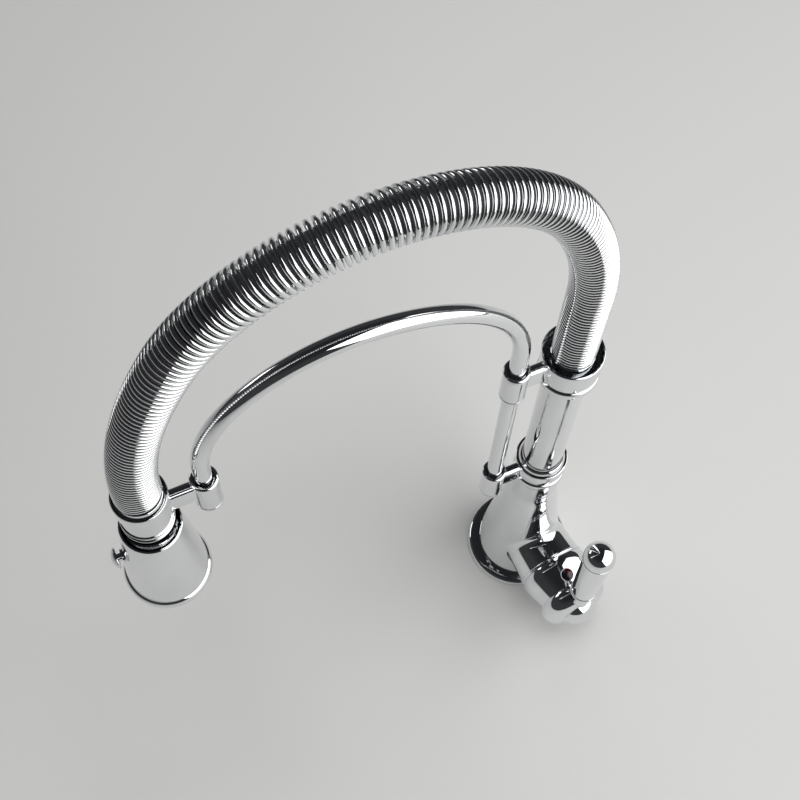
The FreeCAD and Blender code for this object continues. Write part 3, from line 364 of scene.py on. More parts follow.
@dataclass(frozen=True)
class IndexFinish(Finish):
    """Finish of the index plug, with a dark half and a red half. Its places are in metres."""

    centre: Point = (0.0492, 0.0055)
    turn: float = math.radians(ARM_TURN)
    blend: float = 0.00005

    def _mask(
        self, tree: bpy.types.NodeTree, place: bpy.types.NodeSocket, tone: bpy.types.NodeSocket
    ) -> bpy.types.NodeSocket:
        """Split the colours across the plug's middle.

        Args:
            tree: Nodes of the material.
            place: Object coordinates.
            tone: Tone of the shared effect, which isn't used.

        Returns:
            Share of the second colour.
        """
        across = tree.nodes.new("ShaderNodeMapping")
        across.vector_type = "TEXTURE"
        across.inputs["Location"].default_value = (*self.centre, 0.0)
        across.inputs["Rotation"].default_value = (0.0, 0.0, self.turn)
        tree.links.new(place, across.inputs["Vector"])
        parts = tree.nodes.new("ShaderNodeSeparateXYZ")
        tree.links.new(across.outputs["Vector"], parts.inputs["Vector"])
        return spread(tree, parts.outputs["Y"], (-self.blend, self.blend))


CHROME = Finish(
    "polished_chrome", "chrome", (0.80, 0.81, 0.82), (0.72, 0.73, 0.74), 1.0, (0.03, 0.09),
    Texture.POLISH, 0.00002)
SPRING_CHROME = Finish(
    "wound_chrome", "spring", (0.80, 0.81, 0.82), (0.70, 0.71, 0.72), 1.0, (0.06, 0.14),
    Texture.POLISH, 0.00002)
STEEL = Finish(
    "plated_steel", "steel", (0.55, 0.56, 0.57), (0.45, 0.46, 0.47), 1.0, (0.28, 0.42),
    Texture.BRUSHED, 0.00004)
BRASS = Finish(
    "machined_brass", "brass", (0.78, 0.60, 0.30), (0.62, 0.46, 0.22), 1.0, (0.18, 0.32),
    Texture.BRUSHED, 0.00003)
RUBBER = Finish(
    "black_rubber", "rubber", (0.025, 0.025, 0.027), (0.05, 0.05, 0.05), 0.0, (0.55, 0.75),
    Texture.GRAIN, 0.00005)
NYLON = Finish(
    "white_nylon", "nylon", (0.78, 0.78, 0.75), (0.70, 0.70, 0.67), 0.0, (0.35, 0.5),
    Texture.GRAIN, 0.00003)
CERAMIC_BODY = Finish(
    "cartridge_plastic", "ceramic_body", (0.74, 0.72, 0.66), (0.66, 0.64, 0.58), 0.0, (0.4, 0.55),
    Texture.GRAIN, 0.00003)
INDEX = IndexFinish(
    "index_gloss", "index", (0.006, 0.007, 0.014), (0.04, 0.003, 0.005), 0.0, (0.08, 0.14),
    Texture.POLISH, 0.00001)
HOSE = Finish(
    "hose_cover", "hose", (0.045, 0.045, 0.05), (0.08, 0.08, 0.085), 0.0, (0.4, 0.6),
    Texture.GRAIN, 0.00006)
FACE = Finish(
    "face_plate", "face", (0.24, 0.245, 0.25), (0.19, 0.195, 0.20), 0.0, (0.35, 0.5),
    Texture.GRAIN, 0.00004)
NOZZLES = Finish(
    "nozzle_rubber", "nozzles", (0.42, 0.43, 0.44), (0.35, 0.36, 0.37), 0.0, (0.5, 0.65),
    Texture.GRAIN, 0.00004)
CORE = Finish(
    "inner_plastic", "core", (0.14, 0.14, 0.15), (0.10, 0.10, 0.11), 0.0, (0.4, 0.6),
    Texture.GRAIN, 0.00004)
FINISHES = (
    CHROME, SPRING_CHROME, STEEL, BRASS, RUBBER, NYLON, CERAMIC_BODY, INDEX, HOSE, FACE, NOZZLES,
    CORE)


class Palette:
    """Materials made from the finishes, by the record's slot."""

    def __init__(self) -> None:
        """Make every finish's material once."""
        effects = EffectLibrary()
        self.materials = {finish.slot: finish.make(effects) for finish in FINISHES}

    def dress_nodes(self) -> None:
        """Give every CAD node the finish of its material slot."""
        slots = {part["node"]: part["material_slot"] for part in frame["record"]["subparts"]}
        for name, node in frame["nodes"].items():
            material = self.materials[slots[name]]
            if not node.material_slots:
                node.data.materials.append(material)
            for place in node.material_slots:
                place.material = material

    def dress(self, piece: bpy.types.Object, finish: Finish) -> None:
        """Give a new piece a finish, and its slot."""
        piece.data.materials.append(self.materials[finish.slot])


# Modelling helpers


def add_piece(name: str, mesh: bmesh.types.BMesh, crease: float = 32.0) -> bpy.types.Object:
    """Turn a bmesh into an object with smooth faces and sharp creases.

    Args:
        name: Piece name.
        mesh: Finished bmesh, which is freed.
        crease: Edges between faces that meet at more than this many degrees stay sharp.

    Returns:
        The new object.
    """
    for face in mesh.faces:
        face.smooth = True
    for edge in mesh.edges:
        if len(edge.link_faces) == 2:
            edge.smooth = edge.calc_face_angle(0.0) < math.radians(crease)
    data = bpy.data.meshes.new(name)
    mesh.to_mesh(data)
    mesh.free()
    piece = bpy.data.objects.new(name, data)
    bpy.context.scene.collection.objects.link(piece)
    LOG.info("piece %s: %d faces", name, len(data.polygons))
    return piece


RIGHT, LEFT, UP, DOWN = (1, 0), (-1, 0), (0, 1), (0, -1)
"""Directions in an outline's plane, as (radius, height)."""
ROUND_SHARE = 1.0 - math.sqrt(0.5)
"""Distance of a round's middle from each side of its corner, as a share of its radius."""
ARC_STEP = 9.0
"""Widest angle between two points of an arc, in degrees."""
WELD = 1e-7
"""Distance under which vertices are one, in metres."""


def lathe(outline: Outline, steps: int) -> bmesh.types.BMesh:
    """Turn a closed outline about Z.

    Args:
        outline: (radius, height) corners in millimetres. An entry of four numbers is an arc: a
            point on it, then its end.
        steps: Faces round the turn.

    Returns:
        The turned shape in metres.
    """
    mesh = trace(outline)
    bmesh.ops.spin(
        mesh, geom=mesh.verts[:] + mesh.edges[:], cent=(0, 0, 0), axis=(0, 0, 1),
        angle=math.tau, steps=steps, use_merge=True)
    bmesh.ops.remove_doubles(mesh, verts=mesh.verts, dist=WELD)
    on_axis = [edge for edge in mesh.edges if not edge.link_faces]
    bmesh.ops.delete(mesh, geom=on_axis, context="EDGES")
    bmesh.ops.recalc_face_normals(mesh, faces=mesh.faces)
    return mesh


def trace(outline: Outline) -> bmesh.types.BMesh:
    """Draw a closed outline in the plane y = 0.

    Args:
        outline: Corners and arcs, as for lathe.

    Returns:
        Its loop of edges, in metres.
    """
    mesh = bmesh.new()
    first = tip = mesh.verts.new((outline[0][0] * MM, 0.0, outline[0][1] * MM))
    for entry in outline[1:]:
        end = Vector((entry[-2], 0.0, entry[-1])) * MM
        if len(entry) == 2:
            tip = bmesh.ops.extrude_vert_indiv(mesh, verts=[tip])["verts"][0]
            tip.co = end
            continue
        tip = sweep_vertex(mesh, tip, Vector((entry[0], 0.0, entry[1])) * MM, end)
    mesh.edges.new((tip, first))
    return mesh


def rounded(corner: Point, radius: float, way_in: Point, way_out: Point) -> Outline:
    """Round a square corner of an outline.

    Args:
        corner: The corner, in millimetres.
        radius: Radius of the round, in millimetres.
        way_in: Direction in which the outline reaches the corner.
        way_out: Direction in which it leaves the corner.

    Returns:
        The round's first point, and its arc.
    """
    start = tuple(at - radius * way for at, way in zip(corner, way_in))
    end = tuple(at + radius * way for at, way in zip(corner, way_out))
    middle = tuple(
        at + radius * ROUND_SHARE * (leaving - coming)
        for at, coming, leaving in zip(corner, way_in, way_out))
    return [start, (*middle, *end)]


def sweep_vertex(
    mesh: bmesh.types.BMesh, tip: bmesh.types.BMVert, middle: Vector, end: Vector
) -> bmesh.types.BMVert:
    """Sweep a vertex of an outline along an arc in the plane y = 0.

    Args:
        mesh: Bmesh that holds the outline.
        tip: Vertex that the arc starts at.
        middle: Point on the arc.
        end: End of the arc.

    Returns:
        The vertex at the arc's end.
    """
    a, b = middle - tip.co, end - tip.co
    normal = a.cross(b)
    centre = tip.co + (
        (b.cross(normal) * a.length_squared + normal.cross(a) * b.length_squared)
        / (2.0 * normal.length_squared))
    angle = (tip.co - centre).angle(end - centre)
    if a.dot(middle - end) > 0.0:
        angle = math.tau - angle
    axis = normal.normalized()
    steps = max(2, math.ceil(math.degrees(angle) / ARC_STEP))
    swept = bmesh.ops.spin(
        mesh, geom=[tip], cent=centre, axis=axis, angle=angle, steps=steps, use_duplicate=False)
    return [item for item in swept["geom_last"] if isinstance(item, bmesh.types.BMVert)][0]


# Arch spring


@dataclass
class ArchSpring:
    """Close-wound spring over the arch, wound straight and then bent."""

    start: float = SPRING_FOOT
    straight_top: float = 353.0
    bends: tuple[tuple[float, float], ...] = ((186.0, 27.0), (97.044, 124.0), (220.0, 29.0))
    end: float = SPRING_FRONT
    outer_radius: float = 11.25
    wire: float = 2.35
    section_turns: int = 20
    doublings: int = 3
    steps_per_turn: int = 36
    wire_sides: int = 12
    wound_pitch: float = 2.6
    rear_pitch: float = 2.7
    crown_pitch: float = 3.3
    front_pitch: float = 2.5
    rear_settle: float = 45.0
    crown_place: float = 215.0
    front_settle: float = 425.0
    weld: float = 0.02
    crease: float = 60.0

    @property
    def turns(self) -> int:
        """Number of turns of the wire."""
        return self.section_turns * 2 ** self.doublings

    def pitch(self, distance: float) -> float:
        """Rise of one turn, widest where the arch pulls the spring open.

        Args:
            distance: Distance along the centre line, in millimetres.

        Returns:
            The pitch there, in millimetres.
        """
        rear = distance < self.crown_place
        settled = self.rear_settle if rear else self.front_settle
        closed = self.rear_pitch if rear else self.front_pitch
        share = (distance - settled) / (self.crown_place - settled)
        ease = 0.5 - 0.5 * math.cos(math.pi * min(1.0, max(0.0, share)))
        return closed + (self.crown_pitch - closed) * ease

    def centre_line(self, distance: float) -> tuple[Vector, float]:
        """Follow the centre line, in millimetres.

        Args:
            distance: Distance along it from the spring's rear end.

        Returns:
            Point, and heading angle in the plane x = 0.
        """
        heading = math.pi / 2
        here = Vector((0.0, 0.0, self.start))
        run = self.straight_top - self.start
        if distance <= run:
            return here + Vector((0.0, 0.0, distance)), heading
        here = here + Vector((0.0, 0.0, run))
        distance -= run
        for radius, degrees in self.bends:
            turn = math.radians(degrees)
            part = min(distance / radius, turn)
            centre = here + Vector((0.0, -math.sin(heading), math.cos(heading))) * radius
            heading += part
            here = centre + Vector((0.0, math.sin(heading), -math.cos(heading))) * radius
            if distance <= radius * turn:
                return here, heading
            distance -= radius * turn
        return here - Vector((0.0, 0.0, distance)), heading

    def length(self) -> float:
        """Measure the centre line.

        Returns:
            Its length, in millimetres.
        """
        bends = sum(radius * math.radians(degrees) for radius, degrees in self.bends)
        bent = self.straight_top - self.start + bends
        return bent + self.centre_line(bent)[0].z - self.end

    def turn_places(self) -> list[float]:
        """Place each step of the winding along the centre line, fitted to its length.

        Returns:
            Distances along the centre line, in millimetres.
        """
        places = [0.0]
        for _ in range(self.turns * self.steps_per_turn):
            places.append(places[-1] + self.pitch(places[-1]) / self.steps_per_turn)
        fit = (self.length() - self.wire) / places[-1]
        return [self.wire / 2 + place * fit for place in places]

    def wind(self) -> bmesh.types.BMesh:
        """Wind a section of the wire straight about Z, and double it to the full length.

        Returns:
            The straight spring, in millimetres, with open ends.
        """
        mesh = bmesh.new()
        ring = bmesh.ops.create_circle(
            mesh, segments=self.wire_sides, radius=self.wire / 2,
            matrix=Matrix.Translation((self.outer_radius - self.wire / 2, 0, 0))
            @ Matrix.Rotation(math.pi / 2, 4, "X"))
        bmesh.ops.spin(
            mesh, geom=ring["verts"] + mesh.edges[:], cent=(0, 0, 0), axis=(0, 0, 1),
            dvec=(0, 0, self.wound_pitch / self.steps_per_turn),
            angle=math.tau * self.section_turns, steps=self.section_turns * self.steps_per_turn)
        rise = self.wound_pitch * self.section_turns
        for _ in range(self.doublings):
            whole = mesh.verts[:] + mesh.edges[:] + mesh.faces[:]
            copy = bmesh.ops.duplicate(mesh, geom=whole)["geom"]
            moved = [item for item in copy if isinstance(item, bmesh.types.BMVert)]
            bmesh.ops.translate(mesh, verts=moved, vec=(0, 0, rise))
            rise *= 2
        bmesh.ops.remove_doubles(mesh, verts=mesh.verts, dist=self.weld)
        return mesh

    def bend(self, mesh: bmesh.types.BMesh) -> None:
        """Carry each turn of the straight spring to its place on the arch.

        Args:
            mesh: Straight spring in millimetres, which becomes the arch in metres.
        """
        places = self.turn_places()
        climb = self.wound_pitch / self.steps_per_turn
        for vertex in mesh.verts:
            angle = math.atan2(vertex.co.y, vertex.co.x)
            turns = angle / math.tau
            whole = round(vertex.co.z / self.wound_pitch - turns)
            middle = (whole + turns) * self.wound_pitch
            step = min(len(places) - 1, max(0, round(middle / climb)))
            centre, heading = self.centre_line(places[step])
            forward = Vector((0.0, math.cos(heading), math.sin(heading)))
            inward = Vector((0.0, -math.sin(heading), math.cos(heading)))
            out = math.hypot(vertex.co.x, vertex.co.y)
            vertex.co = (
                centre + inward * (out * math.cos(angle))
                + Vector((out * math.sin(angle), 0.0, 0.0))
                + forward * (vertex.co.z - middle)) * MM

    def build(self, palette: Palette) -> bpy.types.Object:
        """Make the arch spring.

        Args:
            palette: Materials.

        Returns:
            The spring.
        """
        mesh = self.wind()
        self.bend(mesh)
        bmesh.ops.holes_fill(mesh, edges=mesh.edges, sides=self.wire_sides)
        bmesh.ops.recalc_face_normals(mesh, faces=mesh.faces)
        piece = add_piece("spring_winding", mesh, self.crease)
        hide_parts("arch_spring")
        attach(piece, Body.SPOUT.value)
        palette.dress(piece, SPRING_CHROME)
        return piece


# Support rod


@dataclass
class SupportRod:
    """Bent rod beside the column, bent over to the front holder."""

    radius: float = 4.4
    offset: float = ROD_OFFSET
    foot: float = 137.5
    straight_top: float = 317.6
    rear_bend: float = 88.0
    rear_angle: float = 82.0
    front_offset: float = ROD_REACH
    front_foot: float = 294.5
    sides: int = 48
    rear_steps: int = 56
    front_steps: int = 64

    def build(self, palette: Palette) -> bpy.types.Object:
        """Sweep the rod's section up, round both bends and down.

        Args:
            palette: Materials.

        Returns:
            The rod.
        """
        share = math.cos(math.radians(self.rear_angle))
        span = self.front_offset - self.offset
        front_bend = (span - self.rear_bend * (1 - share)) / (1 + share)
        rise = self.rear_bend * math.sin(math.radians(self.rear_angle))
        fall = front_bend * math.sin(math.radians(self.rear_angle))
        bend_end = self.straight_top + rise - fall
        mesh = bmesh.new()
        bmesh.ops.create_circle(
            mesh, segments=self.sides, radius=self.radius * MM, cap_ends=False,
            matrix=Matrix.Translation((0, -self.offset * MM, self.foot * MM)))
        ring = mesh.edges[:]
        ring = self._extrude(mesh, ring, (self.straight_top - self.foot) * MM)
        ring = self._bend(
            mesh, ring, -(self.offset + self.rear_bend), self.straight_top, self.rear_angle,
            self.rear_steps)
        ring = self._bend(
            mesh, ring, -(self.front_offset - front_bend), bend_end, 180 - self.rear_angle,
            self.front_steps)
        self._extrude(mesh, ring, (self.front_foot - bend_end) * MM)
        bmesh.ops.holes_fill(mesh, edges=mesh.edges, sides=self.sides)
        bmesh.ops.recalc_face_normals(mesh, faces=mesh.faces)
        piece = add_piece("bent_rod", mesh)
        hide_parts("support_rod")
        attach(piece, Body.SPOUT.value)
        palette.dress(piece, CHROME)
        return piece

    @staticmethod
    def _extrude(
        mesh: bmesh.types.BMesh, ring: list[bmesh.types.BMEdge], rise: float
    ) -> list[bmesh.types.BMEdge]:
        """Extrude the rod's end upright.

        Args:
            mesh: Rod so far.
            ring: Edges of its end.
            rise: Length, in metres, negative downwards.

        Returns:
            Edges of the new end.
        """
        grown = bmesh.ops.extrude_edge_only(mesh, edges=ring)["geom"]
        vertices = [item for item in grown if isinstance(item, bmesh.types.BMVert)]
        bmesh.ops.translate(mesh, verts=vertices, vec=(0, 0, rise))
        return [item for item in grown if isinstance(item, bmesh.types.BMEdge)
                and all(end in vertices for end in item.verts)]

    @staticmethod
    def _bend(
        mesh: bmesh.types.BMesh, ring: list[bmesh.types.BMEdge], y: float, z: float,
        degrees: float, steps: int
    ) -> list[bmesh.types.BMEdge]:
        """Spin the rod's end round a bend's centre, forwards and down.

        Args:
            mesh: Rod so far.
            ring: Edges of its end.
            y: Bend centre's y, in millimetres.
            z: Height of the plane through the centre that the bend starts or ends in.
            degrees: Angle of the bend.
            steps: Rings along it.

        Returns:
            Edges of the new end.
        """
        vertices = list({vertex for edge in ring for vertex in edge.verts})
        swept = bmesh.ops.spin(
            mesh, geom=vertices + ring, cent=(0, y * MM, z * MM), axis=(1, 0, 0),
            angle=math.radians(degrees), steps=steps)
        return [item for item in swept["geom_last"] if isinstance(item, bmesh.types.BMEdge)]


# Turned pieces of the spout and the lever


@dataclass(kw_only=True)
class TurnedPiece:
    """Piece turned about an upright axis, in place of one node."""

    name: str
    node: str
    body: Body = Body.SPOUT
    axis_y: float = 0.0
    sides: int = 160

    def place(self) -> Matrix:
        """Matrix that carries the piece from the Z axis to its place."""
        return Matrix.Translation((0, self.axis_y * MM, 0))

    def outline(self) -> Outline:
        """Closed outline of the piece; each kind has its own."""
        raise NotImplementedError

    def build(self, palette: Palette) -> bpy.types.Object:
        """Turn the piece.

        Args:
            palette: Materials.

        Returns:
            The piece.
        """
        mesh = lathe(self.outline(), self.sides)
        bmesh.ops.transform(mesh, matrix=self.place(), verts=mesh.verts)
        piece = add_piece(self.name, mesh)
        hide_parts(self.node)
        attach(piece, self.body.value)
        palette.dress(piece, CHROME)
        return piece


@dataclass(kw_only=True)
class ColumnCollar(TurnedPiece):
    """Collar on the column: a round bead at the foot, a groove, a barrel and a thin lip.

    A Point among the sizes is the distance across and up or down from the nearest corner.
    """

    bottom: float
    top: float
    lip_radius: float
    bore: float = 11.75
    bead_height: float = 5.6
    bead_proud: float = 0.1
    bead_round: float = 1.6
    shoulder_round: float = 1.9
    groove_height: float = 0.5
    taper_height: float = 2.3
    taper_rise: float = 0.8
    taper_share: float = 0.7
    barrel_inset: float = 0.4
    crest_inset: float = 0.1
    crest_drop: float = 1.0
    waist_inset: float = 1.1
    lip_height: float = 2.4
    lip_bulge: Point = (0.2, 0.65)
    lip_edge: Point = (0.25, 1.0)
    lip_crest: float = 1.6
    lip_round: float = 0.45

    def outline(self) -> Outline:
        """Closed outline of the collar."""
        return self.outside() + self.inside()

    def outside(self) -> Outline:
        """Draw the outside, from the foot up to the lip's upper edge.

        Returns:
            That part of the outline.
        """
        bead = self.lip_radius + self.bead_proud
        bead_top = self.bottom + self.bead_height
        groove = bead - self.shoulder_round
        groove_top = bead_top + self.groove_height
        barrel = self.lip_radius - self.barrel_inset
        barrel_foot = groove_top + self.taper_height
        waist = self.lip_radius - self.waist_inset
        waist_height = self.top - self.lip_height
        crest_height = (barrel_foot + waist_height) / 2 - self.crest_drop
        return [
            *rounded((bead, self.bottom), self.bead_round, RIGHT, UP),
            *rounded((bead, bead_top), self.shoulder_round, UP, LEFT),
            (groove, groove_top),
            (groove + self.taper_share * (barrel - groove), groove_top + self.taper_rise,
             barrel, barrel_foot),
            (self.lip_radius - self.crest_inset, crest_height, waist, waist_height),
            (waist + self.lip_bulge[0], waist_height + self.lip_bulge[1],
             self.lip_radius - self.lip_edge[0], waist_height + self.lip_edge[1]),
            (self.lip_radius, waist_height + self.lip_crest,
             self.lip_radius - self.lip_round, self.top),
        ]

    def inside(self) -> Outline:
        """Outline from the lip inwards and down to the foot; each collar has its own."""
        raise NotImplementedError


@dataclass(kw_only=True)
class FootCollar(ColumnCollar):
    """Collar at the column's foot, whose shoulder rises from the lip to the column."""

    name: str = "foot_collar"
    node: str = "lower_collar"
    bottom: float = 136.3
    top: float = 155.4
    lip_radius: float = 15.0
    lip_width: float = 0.9
    lip_depth: float = 0.9
    lip_drop: float = 0.1
    ledge: float = 0.4
    shoulder_rise: float = 3.0
    shoulder_bulge: float = 0.5
    shoulder_land: float = 0.3
    recess_radius: float = 13.4
    recess_top: float = 139.1

    def inside(self) -> Outline:
        """Draw the shoulder, the bore and the recess for the spigot, downwards.

        Returns:
            That part of the outline.
        """
        inner = self.lip_radius - self.lip_width
        foot = (inner - self.ledge, self.top - self.lip_depth)
        head = (self.bore + self.shoulder_land, self.top + self.shoulder_rise)
        return [
            (inner, self.top - self.lip_drop), (inner, foot[1]), foot,
            ((foot[0] + head[0]) / 2 + self.shoulder_bulge, (foot[1] + head[1]) / 2, *head),
            (self.bore, head[1]), (self.bore, self.recess_top),
            (self.recess_radius, self.recess_top), (self.recess_radius, self.bottom),
        ]


@dataclass(kw_only=True)
class HeadCollar(ColumnCollar):
    """Cup at the column's head, dished round the spring's ferrule."""

    name: str = "head_collar"
    node: str = "upper_collar"
    bottom: float = 272.0
    top: float = 296.8
    lip_radius: float = 15.9
    lip_width: float = 1.0
    lip_drop: float = 0.2
    dish_depth: float = 8.2
    dish_inset: float = 0.5
    dish_share: float = 0.62
    dish_land: float = 0.7

    def inside(self) -> Outline:
        """Draw the dish and the bore, downwards.

        Returns:
            That part of the outline.
        """
        floor = self.top - self.dish_depth
        inner = self.lip_radius - self.lip_width
        return [
            (inner, self.top - self.lip_drop),
            (inner - self.dish_inset, self.top - self.dish_depth * self.dish_share,
             self.bore + self.dish_land, floor),
            (self.bore, floor), (self.bore, self.bottom),
        ]


@dataclass(kw_only=True)
class DockCollar(TurnedPiece):
    """Collar under the spring's front end: thin lip, band, ringed neck and a flare at the foot.

    A Point among the sizes is the distance across and up or down from the nearest corner.
    """

    name: str = "dock_collar"
    node: str = "front_collar"
    axis_y: float = -REACH
    top: float = 329.075
    lip_radius: float = 13.2
    lip_foot: Point = (0.2, 1.8)
    lip_crest: float = 0.8
    lip_round: float = 0.3
    rim: Point = (0.6, 0.15)
    dish_radius: float = 11.45
    dish_depth: float = 2.6
    dish_bulge: Point = (0.35, 1.5)
    bore: float = 10.95
    seat: float = DOCK_SEAT
    band_radius: float = 12.9
    band_height: float = 12.6
    band_round: float = 0.8
    band_bulge: Point = (0.3, 0.2)
    neck_radius: float = 12.1
    neck_bottom: float = 295.575
    ring_radius: float = 12.75
    ring_height: float = 1.5
    ring_rises: tuple[float, ...] = (3.6, 8.0)
    flare_radius: float = 13.3
    flare_bottom: float = 289.7
    flare_edge: Point = (0.3, 0.5)
    flare_bulge: Point = (0.3, 2.6)

    def outline(self) -> Outline:
        """Draw the collar.

        Returns:
            Its closed outline.
        """
        half = self.ring_height / 2
        band_bottom = self.top - self.band_height
        rings = []
        for rise in self.ring_rises:
            middle = self.neck_bottom + rise
            rings += [
                (self.neck_radius, middle - half),
                (self.ring_radius, middle, self.neck_radius, middle + half)]
        return [
            (self.bore, self.flare_bottom),
            (self.flare_radius - self.flare_edge[0], self.flare_bottom),
            (self.flare_radius, self.flare_bottom + self.flare_edge[1]),
            (self.neck_radius + self.flare_bulge[0], self.flare_bottom + self.flare_bulge[1],
             self.neck_radius, self.neck_bottom),
            *rings,
            (self.neck_radius, band_bottom),
            (self.band_radius - self.band_bulge[0], band_bottom + self.band_bulge[1],
             self.band_radius, band_bottom + self.band_round),
            (self.band_radius - self.lip_foot[0], self.top - self.lip_foot[1]),
            (self.lip_radius, self.top - self.lip_crest,
             self.lip_radius - self.lip_round, self.top),
            (self.lip_radius - self.rim[0], self.top - self.rim[1]),
            (self.dish_radius + self.dish_bulge[0], self.top - self.dish_bulge[1],
             self.dish_radius, self.top - self.dish_depth),
            (self.dish_radius, self.seat), (self.bore, self.seat),
        ]


@dataclass(kw_only=True)
class Ferrule(TurnedPiece):
    """Sleeve at the spring's end, with a skirt that widens down into its cup."""

    seat: float
    skirt_bottom: float
    skirt_radius: float
    head: float
    radius: float = 11.2
    bore: float = 8.0
    sleeve_radius: float = 11.3
    skirt_cone: float = 0.6
    skirt_hollow: float = 0.1
    chamfer: float = 0.2

    def outline(self) -> Outline:
        """Draw the sleeve.

        Returns:
            Its closed outline.
        """
        hollow = (self.radius + self.skirt_radius) / 2 - self.skirt_hollow
        return [
            (self.bore, self.seat), (self.sleeve_radius, self.seat),
            (self.sleeve_radius, self.skirt_bottom - self.skirt_cone),
            (self.skirt_radius, self.skirt_bottom),
            (hollow, (self.skirt_bottom + self.head) / 2, self.radius, self.head - self.chamfer),
            (self.radius - self.chamfer, self.head), (self.bore, self.head),
        ]


@dataclass(kw_only=True)
class RodHolder(TurnedPiece):
    """Upright holder of the rod: a bead at the foot, a sleeve, a shoulder and a round lip.

    A Point among the sizes is the distance across and up or down from the nearest corner.
    """

    top: float
    open_through: bool = False
    height: float = 29.0
    floor: float = 3.5
    radius: float = 6.7
    lip_radius: float = 6.95
    lip_round: float = 1.5
    lip_height: float = 2.2
    lip_edge: Point = (0.2, 0.25)
    foot_round: float = 1.4
    bead_height: float = 2.9
    bead_bulge: Point = (0.18, 0.45)
    groove: float = 0.55
    groove_height: float = 0.25
    sleeve_inset: float = 0.1
    sleeve_rise: float = 0.55
    sleeve_drop: float = 1.5
    shoulder_bulge: Point = (0.25, 0.9)
    shoulder_drop: float = 0.6
    neck_height: float = 0.3
    bore: float = 4.45
    mouth: Point = (0.6, 0.8)

    def outline(self) -> Outline:
        """Draw the holder.

        Returns:
            Its closed outline.
        """
        bottom = self.top - self.height
        lip_bottom = self.top - self.lip_height
        bead_top = bottom + self.bead_height
        waist, sleeve = self.radius - self.groove, self.radius - self.sleeve_inset
        if self.open_through:
            inside = [(self.bore, bottom)]
        else:
            inside = [(self.bore, bottom + self.floor), (0.0, bottom + self.floor), (0.0, bottom)]
        return [
            *rounded((self.radius, bottom), self.foot_round, RIGHT, UP),
            (self.radius - self.bead_bulge[0], bead_top - self.bead_bulge[1], waist, bead_top),
            (waist, bead_top + self.groove_height), (sleeve, bead_top + self.sleeve_rise),
            (sleeve, lip_bottom - self.sleeve_drop),
            (self.radius - self.shoulder_bulge[0], lip_bottom - self.shoulder_bulge[1],
             waist, lip_bottom - self.shoulder_drop),
            (waist, lip_bottom - self.neck_height),
            (self.lip_radius - self.lip_edge[0], lip_bottom),
            (self.lip_radius, lip_bottom + self.lip_edge[1]),
            *rounded((self.lip_radius, self.top), self.lip_round, UP, LEFT),
            (self.bore + self.mouth[0], self.top), (self.bore, self.top - self.mouth[1]), *inside,
        ]


@dataclass(frozen=True)
class Mount:
    """Place of a rod holder and of the bar from it to a collar, in millimetres."""

    name: str
    rod_y: float
    holder_top: float
    bar_middle: float
    collar_y: float
    collar_radius: float
    open_through: bool = False


MOUNTS = (
    Mount("lower", -ROD_OFFSET, 163.0, 147.0, 0.0, 13.0),
    Mount("upper", -ROD_OFFSET, 300.0, 286.5, 0.0, 15.05, open_through=True),
    Mount("front", -ROD_REACH, 319.975, 309.275, -REACH, 11.9),
)


@dataclass(kw_only=True)
class HolderBar:
    """Bar from a holder's wall to a collar's wall, with wide round upper edges."""

    name: str
    middle: float
    holder_y: float
    collar_y: float
    collar_radius: float
    holder_radius: float = 5.4
    width: float = 6.0
    height: float = 14.5
    upper_round: float = 2.5
    lower_round: float = 1.2

    def build(self, palette: Palette) -> bpy.types.Object:
        """Extrude the bar's section and fit its ends to the two round walls.

        Args:
            palette: Materials.

        Returns:
            The bar.
        """
        half, top = self.width / 2, self.middle + self.height / 2
        bottom = self.middle - self.height / 2
        mesh = trace([
            *rounded((-half, top), self.upper_round, UP, RIGHT),
            *rounded((half, top), self.upper_round, RIGHT, DOWN),
            *rounded((half, bottom), self.lower_round, DOWN, LEFT),
            *rounded((-half, bottom), self.lower_round, LEFT, UP),
        ])
        near = mesh.verts[:]
        grown = bmesh.ops.extrude_edge_only(mesh, edges=mesh.edges[:])["geom"]
        far = [item for item in grown if isinstance(item, bmesh.types.BMVert)]
        side = math.copysign(1.0, self.collar_y - self.holder_y)
        for vertex in near:
            vertex.co.y = self.holder_y * MM + side * self._wall(self.holder_radius, vertex.co.x)
        for vertex in far:
            vertex.co.y = self.collar_y * MM - side * self._wall(self.collar_radius, vertex.co.x)
        bmesh.ops.holes_fill(mesh, edges=mesh.edges, sides=0)
        bmesh.ops.recalc_face_normals(mesh, faces=mesh.faces)
        piece = add_piece(self.name, mesh)
        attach(piece, Body.SPOUT.value)
        palette.dress(piece, CHROME)
        return piece

    @staticmethod
    def _wall(radius: float, x: float) -> float:
        """Distance along Y from a wall's axis to the wall, in metres."""
        return math.sqrt((radius * MM) ** 2 - x ** 2)


@dataclass(kw_only=True)
class LeverPiece(TurnedPiece):
    """Piece turned about the handle's axis, with heights from the arm's axis."""

    body: Body = Body.LEVER
    distance: float = 65.2
    spigot_radius: float = 4.0
    spigot_length: float = 12.0
    foot: float = 36.5

    def place(self) -> Matrix:
        """Matrix that stands the piece on the hub."""
        turn = Matrix.Rotation(math.radians(ARM_TURN), 4, "Z")
        return turn @ Matrix.Translation((self.distance * MM, 0, ARM_HEIGHT * MM))


